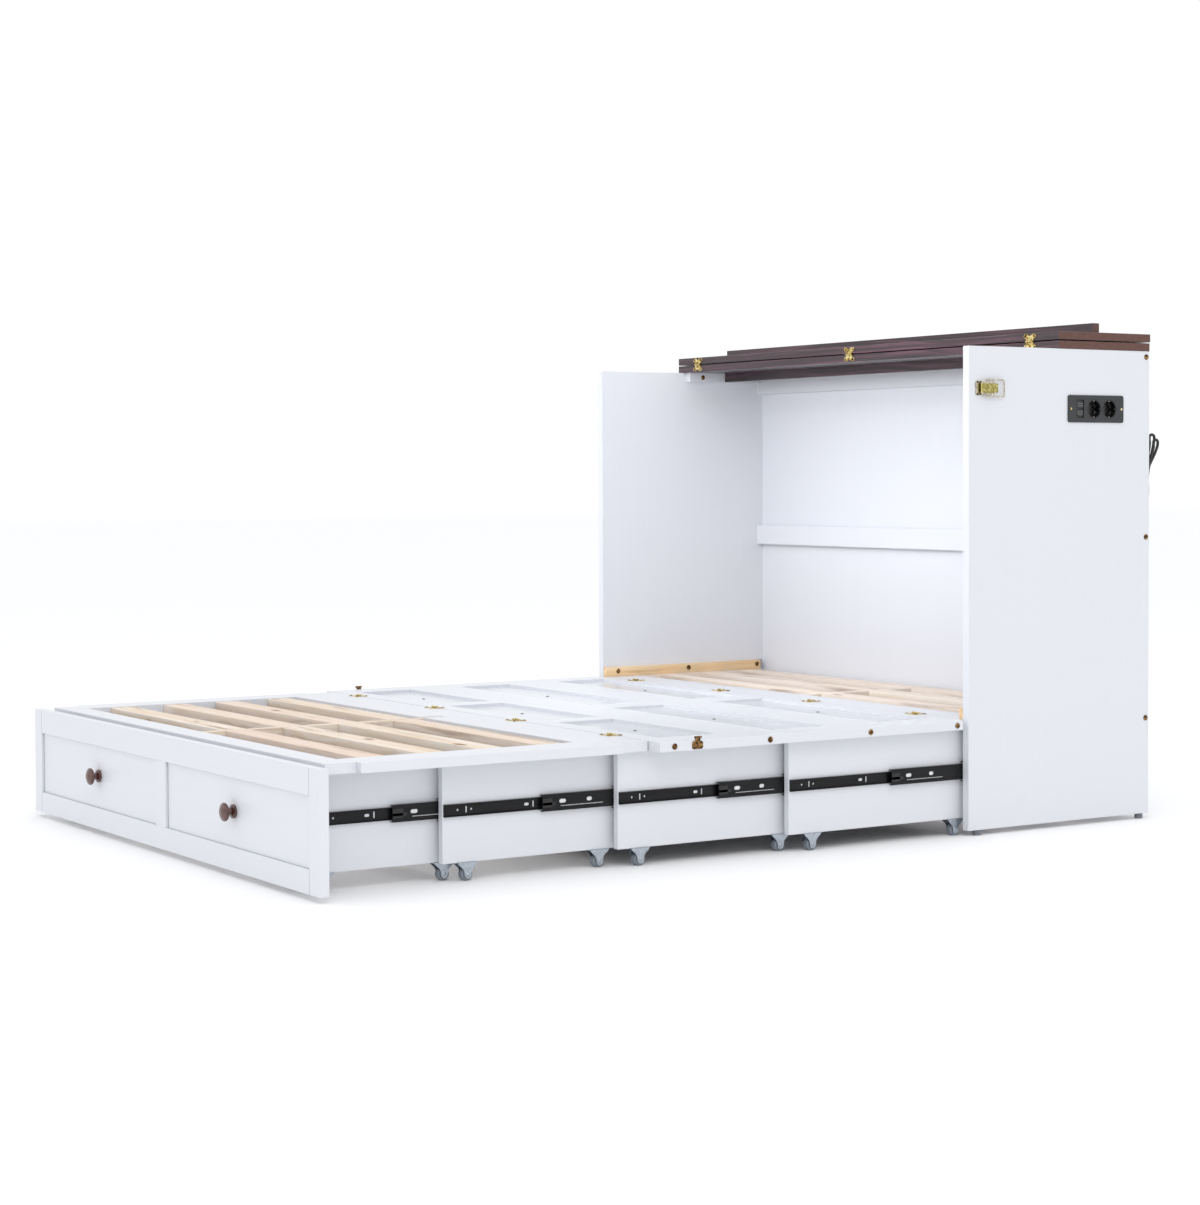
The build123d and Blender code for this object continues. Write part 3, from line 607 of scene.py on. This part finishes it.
cleats = bmesh.new()
for side in (-1, 1):
    x0, x1 = sorted((side * CLEAT_X, side * PANEL_INSIDE))
    plank(cleats, (x0, CLEAT_Y[0], DECK_TOP), (x1, CLEAT_Y[1], CLEAT_TOP), CLEAT_EASE, 0.5 + side * 0.13)
side_cleats = from_bmesh("deck_side_cleats", cleats, cleat_pine, "cabinet")
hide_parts("deck_cleats")

# ---------------------------------------------------------------------------------------------
# Hinges: stamped steel leaves, zinc-plated and passivated yellow. The film is thin and uneven, so
# the metal is brass-coloured, with paler and darker blotches about 5 mm across. The darkest and
# palest blotches are also painted dark reflections and painted highlights.

# dark and pale: the film's own tones, and also painted dark reflections and painted highlights
ZINC_DARK_FILM_AND_REFLECTION, ZINC_YELLOW, ZINC_PALE_FILM_AND_HIGHLIGHT = "#7d6632", "#d2b86c", "#f1e6ba"


def plated(name, dark, base, pale, roughness):
    """Plated steel: three tones of the film in blotches 5 mm across, over tool marks 1.5 mm apart.
    On the hinges the dark and pale tones are also painted dark reflections and highlights.
    """
    material = new_material(name)
    place = add(material, "ShaderNodeTexCoord")
    film = add(
        material, "ShaderNodeTexNoise", {"Vector": place.outputs["Object"], "Scale": 190.0, "Detail": 3.0},
    )
    marks = add(
        material, "ShaderNodeTexNoise", {"Vector": place.outputs["Object"], "Scale": 700.0, "Detail": 2.0},
    )
    tone = add(material, "ShaderNodeValToRGB", {0: film.outputs[0]})
    tone.color_ramp.elements[0].position = 0.36
    tone.color_ramp.elements[0].color = linear(dark)
    tone.color_ramp.elements[1].position = 0.64
    tone.color_ramp.elements[1].color = linear(pale)
    middle = tone.color_ramp.elements.new(0.5)
    middle.color = linear(base)
    worn = add(
        material, "ShaderNodeMapRange", {0: marks.outputs[0], 3: roughness - 0.08, 4: roughness + 0.12},
    )
    bump = add(
        material, "ShaderNodeBump", {"Height": marks.outputs[0], "Strength": 0.15, "Distance": 0.0002},
    )
    return surface(
        material, Base_Color=tone.outputs[0], Metallic=1.0, Roughness=worn.outputs[0],
        Normal=bump.outputs[0],
    )


# its dark and pale blotches are partly the film, partly painted reflections and highlights
hinge_zinc = plated("yellow_zinc_hinges", ZINC_DARK_FILM_AND_REFLECTION, ZINC_YELLOW, ZINC_PALE_FILM_AND_HIGHLIGHT, 0.24)
paint(hinge_zinc, "cabinet_hinges", "top_front_hinges", "middle_hinges", "front_hinges")

# ---------------------------------------------------------------------------------------------
# Toggle latches, one on each side panel: a base plate with lugs and a bent wire bail, both nickel
# plated, and a stamped lever passivated yellow, with a greener and duller film than the hinges.

latch_zinc = plated("yellow_zinc_latches", "#8c8548", "#a99e5c", "#c9be86", 0.24)
latch_nickel = plated("nickel_plated_latch_bases", "#a59a86", "#c4bca8", "#e2dccd", 0.2)
paint(latch_zinc, "latch_lever_left", "latch_lever_right")
paint(latch_nickel, "latch_bases", "latch_bail_left", "latch_bail_right")

# ---------------------------------------------------------------------------------------------
# Hinge and latch screws: small pan heads of darkened brass, four to each hinge and two to each
# latch base, driven until the head sits on the plate.

PAN_HEAD = [(3.1, -0.4), (3.1, 0.15), (2.6, 0.6), (1.3, 0.8), (0.8, 0.35), (0, 0.25)]  # dome, then recess
screw_steel = plated("darkened_brass_screws", "#2e2416", "#54432a", "#8f7a4c", 0.34)


def screw(bm, place, way, scale=1.0):
    """A pan-head screw at a point in mm, its head facing along a direction."""
    profile = [(radius * scale, height * scale) for radius, height in PAN_HEAD]
    lathe(bm, profile, aimed(at(*place), way), 20)


UPWARDS, FORWARDS = (0, 0, 1), (0, -1, 0)
LEAF_TOP = DECK_TOP + 1.6  # the leaves are 1.6 mm thick and lie on the decks
DECK_HINGES_X, TOP_HINGES_X = (-555, -180, 180, 555), (-640, 0, 640)
MIDDLE_PIN_Y, FRONT_PIN_Y = 0, -798.5
TOP_LEAF_Y, TOP_PIN_Z = 255.4, 1069
HALF_PITCH, FROM_PIN = 14.5, 12.5  # a screw's place on its leaf, along the pin and away from it
LATCH_PLATE_X, LATCH_Y, LATCH_Z, LATCH_HALF_PITCH = 732, 23, 960, 13

hinge_screws = {body: bmesh.new() for body in ("cabinet", "middle_deck", "front_deck", "top_front")}
for pin_y, near, far in (
    (MIDDLE_PIN_Y, "middle_deck", "cabinet"), (FRONT_PIN_Y, "front_deck", "middle_deck"),
):
    for x in DECK_HINGES_X:
        for dx in (-HALF_PITCH, HALF_PITCH):
            screw(hinge_screws[near], (x + dx, pin_y - FROM_PIN, LEAF_TOP), UPWARDS)
            screw(hinge_screws[far], (x + dx, pin_y + FROM_PIN, LEAF_TOP), UPWARDS)
for x in TOP_HINGES_X:
    for dx in (-HALF_PITCH, HALF_PITCH):
        screw(hinge_screws["cabinet"], (x + dx, TOP_LEAF_Y, TOP_PIN_Z - FROM_PIN), FORWARDS)
        screw(hinge_screws["top_front"], (x + dx, TOP_LEAF_Y, TOP_PIN_Z + FROM_PIN), FORWARDS)
for side in (-1, 1):
    for dz in (-LATCH_HALF_PITCH, LATCH_HALF_PITCH):
        screw(hinge_screws["cabinet"], (side * LATCH_PLATE_X, LATCH_Y, LATCH_Z + dz), (side, 0, 0), 0.8)
for body, bm in hinge_screws.items():
    from_bmesh(f"{body}_hinge_screws", bm, screw_steel, body)

# ---------------------------------------------------------------------------------------------
# Knob screws: the ends of the seven machine screws that hold the middle deck's knobs, let into its
# panels from above and blackened in an oxide bath.

PANEL_FACE = 244
KNOB_SCREWS = {-110: (-347.5, 347.5), -395: (-347.5, 347.5), -675: (-457.5, 0, 457.5)}  # each row's Y: its X

knob_screws = bmesh.new()
for y, places in KNOB_SCREWS.items():
    for x in places:
        screw(knob_screws, (x, y, PANEL_FACE), UPWARDS, 1.35)
black_oxide = plated("black_oxide_knob_screws", "#0b0a09", "#1b1815", "#3a342c", 0.4)
from_bmesh("middle_knob_screws", knob_screws, black_oxide, "middle_deck")

# ---------------------------------------------------------------------------------------------
# Bolts: button-head bolts in antique brass, with hexagon sockets. Their low domes stand on the
# deck's side strips, along the side panels' rear edges and on the cleats inside the cabinet.

antique_brass = plated("antique_brass_bolts", "#402c1e", "#6b4e34", "#b5935e", 0.3)
paint(antique_brass, "cabinet_bolts", "middle_fittings")

BUTTON_HEAD = [
    (6.3, -0.3), (6.3, 0.5), (5.6, 1.5), (4.2, 2.2), (2.6, 2.45),
    (2.2, 2.4), (2.0, 2.06), (0, 2.06),
]
HEAD_STEPS = 24


def bolt(bm, place, way):
    """A button-head bolt, its socket's two rings pulled in from circles to hexagons."""
    rings = lathe(bm, BUTTON_HEAD, aimed(at(*place), way), HEAD_STEPS)
    middle = sum((v.co for v in rings[-2]), Vector()) / HEAD_STEPS
    for ring in rings[-3:-1]:
        for i, vert in enumerate(ring):
            turn = math.radians((i * 360 / HEAD_STEPS) % 60 - 30)
            vert.co = middle + (vert.co - middle) * (math.cos(math.radians(30)) / math.cos(turn))


OUTER_FACE = 730
STRIP_BOLTS_Y, STRIP_Z = (-762, -527, -267, -31), 240
REAR_BOLTS_Y, REAR_BOLTS_Z = 522, (227, 634, 1037)
CLEAT_BOLTS = ((38, 264), (263, 264), (489, 264), (312, 1038), (470, 1038))  # Y and Z

bolts = {"cabinet": bmesh.new(), "middle_deck": bmesh.new()}
for side in (-1, 1):
    for y in STRIP_BOLTS_Y:
        bolt(bolts["middle_deck"], (side * OUTER_FACE, y, STRIP_Z), (side, 0, 0))
    for z in REAR_BOLTS_Z:
        bolt(bolts["cabinet"], (side * OUTER_FACE, REAR_BOLTS_Y, z), (side, 0, 0))
    for y, z in CLEAT_BOLTS:
        bolt(bolts["cabinet"], (side * CLEAT_X, y, z), (-side, 0, 0))
for body, bm in bolts.items():
    from_bmesh(f"{body}_bolt_heads", bm, antique_brass, body)

# ---------------------------------------------------------------------------------------------
# Knobs: turned beech, dipped in a red-brown stain and lacquered to a high gloss. The stain leaves
# darker flecks where it soaks into the end grain.

knob_wood = new_material("stained_beech_knobs")
place = add(knob_wood, "ShaderNodeTexCoord")
fleck_place = add(
    knob_wood, "ShaderNodeMapping", {"Vector": place.outputs["Object"], "Scale": (60.0, 60.0, 220.0)},
)
fleck = add(knob_wood, "ShaderNodeTexNoise", {"Vector": fleck_place.outputs[0], "Scale": 2.0, "Detail": 4.0})
tone = add(knob_wood, "ShaderNodeValToRGB", {0: fleck.outputs[0]})
tone.color_ramp.elements[0].position = 0.3
tone.color_ramp.elements[0].color = linear("#2a120d")
tone.color_ramp.elements[1].position = 0.75
tone.color_ramp.elements[1].color = linear("#6b3a2c")
surface(knob_wood, Base_Color=tone.outputs[0], Roughness=0.3, IOR=1.5, Coat_Weight=0.8, Coat_Roughness=0.06)
paint(knob_wood, "middle_knobs", "drawer_knobs")

# ---------------------------------------------------------------------------------------------
# Telescopic slides: channels rolled from cold steel strip, dipped in a black electrophoretic
# paint, and punched with round-ended slots for their screws and catches.

slide_paint = new_material("black_e_coat_slides")
place = add(slide_paint, "ShaderNodeTexCoord")
scuff_place = add(
    slide_paint, "ShaderNodeMapping", {"Vector": place.outputs["Object"], "Scale": (400.0, 12.0, 400.0)},
)
scuff = add(
    slide_paint, "ShaderNodeTexNoise", {"Vector": scuff_place.outputs[0], "Scale": 1.0, "Detail": 3.0},
)
tone = add(slide_paint, "ShaderNodeValToRGB", {0: scuff.outputs[0]})
tone.color_ramp.elements[0].position = 0.3
tone.color_ramp.elements[0].color = linear("#060607")
tone.color_ramp.elements[1].position = 0.8
tone.color_ramp.elements[1].color = linear("#1b1c1f")
sheen = add(slide_paint, "ShaderNodeMapRange", {0: scuff.outputs[0], 3: 0.26, 4: 0.42})
surface(
    slide_paint, Base_Color=tone.outputs[0], Roughness=sheen.outputs[0], IOR=1.45, Specular_IOR_Level=0.28,
)
paint(slide_paint, "slide_rails_cabinet")

SLIDE_Z = 138
SECTIONS = (1, 2, 3, 4)
BOX_FACE = {1: 614, 2: 642, 3: 670, 4: 698}  # X of each box's outer face, where its slide is screwed
INNER_FRONT = {1: -1518, 2: -1237, 3: -856, 4: -455}
MIDDLE_FRONT = {1: -1337, 2: -1022, 3: -621, 4: -194}
REAR_SLOT = {1: 132, 2: 185, 3: 185, 4: 185}  # from the inner member's front
SLIDE_SPACE = 13  # from a box's outer face to the wall beside it
INNER_WEB, MIDDLE_WEB = 0.6, SLIDE_SPACE - 2.9  # from a box's outer face to the middle of each web
FRONT_SLOTS = ((31, 4.5, 4.5), (50, 3.5, 13), (61, 4.5, 4.5))  # distance from the front, length, height
WINDOWS = ((47, 140, 16, 8), (109, 140, 13, 8), (92, 130.6, 100, 1.8))  # distance, Z, length, height
ROUND_STEPS = 24


def obround(bm, x, y, z, long_y, long_z, deep):
    """A round-ended pin along X, for cutting a slot or a hole."""
    radius = min(long_y, long_z) / 2
    reach_y, reach_z = long_y / 2 - radius, long_z / 2 - radius
    ends = []
    for offset in (-deep / 2, deep / 2):
        ring = []
        for i in range(ROUND_STEPS):
            turn = 2 * math.pi * (i + 0.5) / ROUND_STEPS
            out_y = math.copysign(reach_y, math.cos(turn)) + radius * math.cos(turn)
            out_z = math.copysign(reach_z, math.sin(turn)) + radius * math.sin(turn)
            ring.append(bm.verts.new(at(x + offset, y + out_y, z + out_z)))
        ends.append(ring)
    for i in range(ROUND_STEPS):
        j = (i + 1) % ROUND_STEPS
        bm.faces.new((ends[0][i], ends[0][j], ends[1][j], ends[1][i]))
    bm.faces.new(ends[0])
    bm.faces.new(ends[1])


def punched(name, node, cutters, material, body):
    """A copy of a CAD node with holes cut through it, standing in for it."""
    bmesh.ops.recalc_face_normals(cutters, faces=cutters.faces)
    cutter_mesh = bpy.data.meshes.new("cutters")
    cutters.to_mesh(cutter_mesh)
    cutters.free()
    cutter = bpy.data.objects.new("cutters", cutter_mesh)
    blank = bpy.data.objects.new("blank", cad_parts[node].data.copy())
    for thing in (cutter, blank):
        bpy.context.scene.collection.objects.link(thing)
    cut = blank.modifiers.new("cut", "BOOLEAN")
    cut.operation = "DIFFERENCE"
    cut.solver = "EXACT"
    cut.object = cutter
    mesh = bpy.data.meshes.new_from_object(blank.evaluated_get(bpy.context.evaluated_depsgraph_get()))
    for thing in (cutter, blank):
        bpy.data.objects.remove(thing)
    mesh.materials.clear()
    mesh.shade_smooth()
    mesh.set_sharp_from_angle(angle=math.radians(30))
    piece = finished(name, mesh, material, body)
    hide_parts(node)


for k in SECTIONS:
    slots = bmesh.new()
    windows = bmesh.new()
    rear_slots = ((REAR_SLOT[k], 11, 6), (REAR_SLOT[k] + 15, 3.5, 13))
    for side in (-1, 1):
        web = side * (BOX_FACE[k] + INNER_WEB)
        for along, long_y, long_z in FRONT_SLOTS + rear_slots:
            obround(slots, web, INNER_FRONT[k] + along, SLIDE_Z, long_y, long_z, 1.8)
        web = side * (BOX_FACE[k] + MIDDLE_WEB)
        for along, z, long_y, long_z in WINDOWS:
            obround(windows, web, MIDDLE_FRONT[k] + along, z, long_y, long_z, 1.6)
    punched(
        f"slide_{k}_inner_members", f"section_{k}_rails", slots, slide_paint, f"section_{k}",
    )
    punched(
        f"slide_{k}_middle_members", f"slide_{k}_middle", windows, slide_paint, f"slide_{k}",
    )

# ---------------------------------------------------------------------------------------------
# Ball cages and catches: moulded strips of white acetal that hold the balls, seen through the
# middle member's windows, and black nylon catches clipped on its front end.

acetal = new_material("moulded_acetal_ball_cages")
place = add(acetal, "ShaderNodeTexCoord")
mottle = add(
    acetal, "ShaderNodeTexNoise", {"Vector": place.outputs["Object"], "Scale": 250.0, "Detail": 2.0},
)
tone = add(acetal, "ShaderNodeValToRGB", {0: mottle.outputs[0]})
tone.color_ramp.elements[0].color = linear("#d3d4d6")
tone.color_ramp.elements[1].color = linear("#f4f4f4")
surface(acetal, Base_Color=tone.outputs[0], Roughness=0.4, IOR=1.48)
catch_nylon = moulded("black_nylon_slide_catches", "#0e0e10", 0.35)

CAGE_FROM_WALL, CATCH_FROM_WALL = (5.7, 3.9), (3.3, 1.5)
for k in SECTIONS:
    cages = bmesh.new()
    catches = bmesh.new()
    wall, start = BOX_FACE[k] + SLIDE_SPACE, MIDDLE_FRONT[k]
    for side in (-1, 1):
        x0, x1 = sorted(side * (wall - gap) for gap in CAGE_FROM_WALL)
        block(cages, (x0, start + 24, 127), (x1, start + 150, 149), 0.3)
        x0, x1 = sorted(side * (wall - gap) for gap in CATCH_FROM_WALL)
        block(catches, (x0, start + 0.5, 129), (x1, start + 23, 147), 0.4)
        block(catches, (x0, start + 0.5, 133), (x1, start + 31, 139), 0.4)
    from_bmesh(f"slide_{k}_ball_cages", cages, acetal, f"slide_{k}")
    from_bmesh(f"slide_{k}_catches", catches, catch_nylon, f"slide_{k}")

# ---------------------------------------------------------------------------------------------
# Joint lines of the drawer front: the paint stops at the open joints between stiles, rails and
# panels, which stay as fine grey lines. Round the sunk panels the grey strips are also painted
# shade in the recess's inner corners, twice as wide under the top rail.

# grey for the open joints, and painted shade in the corners round the sunk panels
joint_and_shade_grey = moulded("open_paint_joints_and_painted_recess_shade", "#9fa4ad", 0.7)
STILE_EDGE, MULLION_HALF, LOW_RAIL, TOP_RAIL, PANEL_RECESS = 688, 26, 58, 194, 6
LINE, PROUD, SUNK, LINE_EASE = 0.7, 0.05, 0.5, 0.04
front_low, front_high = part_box("drawer_front")
face_y = front_low[1] * 1000 - CABINET_FRONT
panel_y = face_y + PANEL_RECESS
foot_z, head_z = front_low[2] * 1000, front_high[2] * 1000

joint_and_shade_lines = bmesh.new()
for side in (-1, 1):
    x = side * STILE_EDGE
    for z0, z1 in ((foot_z + 1, LOW_RAIL), (TOP_RAIL, head_z - 1)):
        block(joint_and_shade_lines, (x - LINE, face_y - PROUD, z0), (x + LINE, face_y + SUNK, z1), LINE_EASE)
    # strips round each sunk panel: the joint with the frame and painted shade in the recess corner
    x0, x1 = sorted((side * MULLION_HALF, side * STILE_EDGE))
    for z0, z1 in ((TOP_RAIL - 2 * LINE, TOP_RAIL), (LOW_RAIL, LOW_RAIL + LINE)):
        block(joint_and_shade_lines, (x0, panel_y - 0.6, z0), (x1, panel_y + SUNK, z1), LINE_EASE)
    for edge in (x0, x1 - 2 * LINE):
        block(
            joint_and_shade_lines, (edge, panel_y - 0.6, LOW_RAIL), (edge + 2 * LINE, panel_y + SUNK, TOP_RAIL), LINE_EASE,
        )
from_bmesh("drawer_front_joints_and_painted_recess_shade", joint_and_shade_lines, joint_and_shade_grey, "section_1")

# ---------------------------------------------------------------------------------------------
# Casters: pressed forks of bright zinc-plated steel and moulded grey polypropylene wheels, each on
# a riveted axle.

fork_zinc = new_material("bright_zinc_forks")
place = add(fork_zinc, "ShaderNodeTexCoord")
spangle = add(
    fork_zinc, "ShaderNodeTexNoise", {"Vector": place.outputs["Object"], "Scale": 160.0, "Detail": 3.0},
)
tone = add(fork_zinc, "ShaderNodeValToRGB", {0: spangle.outputs[0]})
tone.color_ramp.elements[0].color = linear("#8b939c")
tone.color_ramp.elements[1].color = linear("#ccd3db")
surface(fork_zinc, Base_Color=tone.outputs[0], Metallic=1.0, Roughness=0.34)
paint(fork_zinc, *[f"section_{k}_forks" for k in SECTIONS])
wheel_plastic = moulded("grey_polypropylene_wheels", "#7d858e", 0.45)
paint(wheel_plastic, *[f"wheels_{k}_{end}" for k in SECTIONS for end in ("front", "rear")])

AXLE_Z, FORK_INSET, FORK_HALF = 12.5, 7.5, 11
CASTERS_Y = {1: (-1478, -1221), 2: (-1185, -885), 3: (-806, -459), 4: (-397, -11)}
RIVET = [(3.4, -0.3), (3.4, 0.3), (2.7, 1.1), (1.2, 1.5), (0, 1.5)]
for k in SECTIONS:
    rivets = bmesh.new()
    for side in (-1, 1):
        middle = side * (BOX_FACE[k] - FORK_INSET)
        for y in CASTERS_Y[k]:
            for way in (-1, 1):
                lathe(rivets, RIVET, aimed(at(middle + way * FORK_HALF, y, AXLE_Z), (way, 0, 0)), 20)
    from_bmesh(f"section_{k}_axle_rivets", rivets, fork_zinc, f"section_{k}")

# ---------------------------------------------------------------------------------------------
# Socket unit: a moulded ABS plate, dark grey and finely textured, screwed to the right side panel,
# with two glossy black wells, sprung earth clips and two charging ports.

socket_plate = moulded("socket_plate_dark_grey", "#2c2e31", 0.5)
paint(socket_plate, "socket_unit")
insert_black = moulded("socket_inserts_gloss_black", "#08080a", 0.22)
SOCKET_Z, PLATE_X, WELL_FLOOR = 919, 732.5, 716.5
WELLS_Y, PLATE_SCREWS_Y = (361, 407), (293, 444)
WELL_CUP = [(0, 0.6), (17.2, 0.6), (17.8, 1.2), (18.7, 15.6), (19.6, 16.35), (21.2, 16.35), (21.6, 16.0)]
COLLAR = [(2.4, 0.0), (3.1, 0.0), (3.1, 0.5), (2.4, 0.5), (2.4, 0.0)]
KEY_REACH, CLIP_REACH, PIN_REACH = 17, 17.4, 9.5  # from the middle of a well
OUTWARDS = (1, 0, 0)

inserts = bmesh.new()
clips = bmesh.new()
collars = bmesh.new()
for y in WELLS_Y:
    lathe(inserts, WELL_CUP, aimed(at(WELL_FLOOR, y, SOCKET_Z), OUTWARDS), 48)
    for way in (-1, 1):
        key_y, clip_z = y + way * KEY_REACH, SOCKET_Z + way * CLIP_REACH
        block(
            inserts, (WELL_FLOOR + 1, key_y - 1.6, SOCKET_Z - 3), (PLATE_X - 1, key_y + 1.6, SOCKET_Z + 3),
            0.5,
        )
        block(clips, (WELL_FLOOR + 3, y - 2.6, clip_z - 0.5), (PLATE_X - 1, y + 2.6, clip_z + 0.5), 0.3)
        lathe(collars, COLLAR, aimed(at(WELL_FLOOR + 0.5, y + way * PIN_REACH, SOCKET_Z), OUTWARDS), 24)
from_bmesh("socket_well_inserts", inserts, insert_black, "cabinet")
from_bmesh("socket_pin_collars", collars, socket_plate, "cabinet")
from_bmesh("socket_earth_clips", clips, plated_steel, "cabinet")

PORTS_Z, PORT_Y0, PORT_Y1 = (910, 928), 313.9, 326.1
PORT_BACK, PORT_FACE, PORT_HALF, SHELL = 729.4, 731.6, 2.6, 0.6
ports = bmesh.new()
tongues = bmesh.new()
for z in PORTS_Z:
    for y0, y1, z0, z1 in (
        (PORT_Y0, PORT_Y1, -PORT_HALF, SHELL - PORT_HALF), (PORT_Y0, PORT_Y1, PORT_HALF - SHELL, PORT_HALF),
        (PORT_Y0, PORT_Y0 + SHELL, -PORT_HALF, PORT_HALF), (PORT_Y1 - SHELL, PORT_Y1, -PORT_HALF, PORT_HALF),
    ):
        block(ports, (PORT_BACK, y0, z + z0), (PORT_FACE, y1, z + z1), 0.1)
    block(tongues, (PORT_BACK - 0.2, PORT_Y0 + 1.6, z - 0.2), (PORT_FACE - 0.4, PORT_Y1 - 1.6, z + 1.6), 0.2)
from_bmesh("socket_charging_ports", ports, plated_steel, "cabinet")
from_bmesh("socket_port_tongues", tongues, insert_black, "cabinet")

plate_screws = bmesh.new()
for y in PLATE_SCREWS_Y:
    screw(plate_screws, (PLATE_X, y, SOCKET_Z), OUTWARDS, 0.85)
from_bmesh("socket_plate_screws", plate_screws, hinge_zinc, "cabinet")

# ---------------------------------------------------------------------------------------------
# Cleat brackets: small galvanised steel angles at the rear ends of the side cleats, one leg behind
# the cleat and one along the side panel.

ANGLE_X, ANGLE_Y, ANGLE_Z, ANGLE_PLATE = (697, PANEL_INSIDE), (503, 515), (251, 275), 2
brackets = bmesh.new()
for side in (-1, 1):
    x0, x1 = sorted(side * x for x in ANGLE_X)
    block(brackets, (x0, ANGLE_Y[0], ANGLE_Z[0]), (x1, ANGLE_Y[0] + ANGLE_PLATE, ANGLE_Z[1]), 0.4)
    x0, x1 = sorted((side * (ANGLE_X[1] - ANGLE_PLATE), side * ANGLE_X[1]))
    block(brackets, (x0, ANGLE_Y[0], ANGLE_Z[0]), (x1, ANGLE_Y[1], ANGLE_Z[1]), 0.4)
from_bmesh("cleat_brackets", brackets, fork_zinc, "cabinet")

# ---------------------------------------------------------------------------------------------
# Back panel screws: a row of pan-head screws along the top and the bottom edge, through the panel
# into the rails.

EDGE_GAP = 12
BACK_SCREWS_X = (-690, -460, -230, 0, 230, 460, 690)
back_low, back_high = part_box("back_panel")
back_y = back_high[1] * 1000 - CABINET_FRONT
back_screws = bmesh.new()
for z in (back_low[2] * 1000 + EDGE_GAP, back_high[2] * 1000 - EDGE_GAP):
    for x in BACK_SCREWS_X:
        screw(back_screws, (x, back_y, z), (0, 1, 0), 1.3)
from_bmesh("back_panel_screws", back_screws, screw_steel, "cabinet")
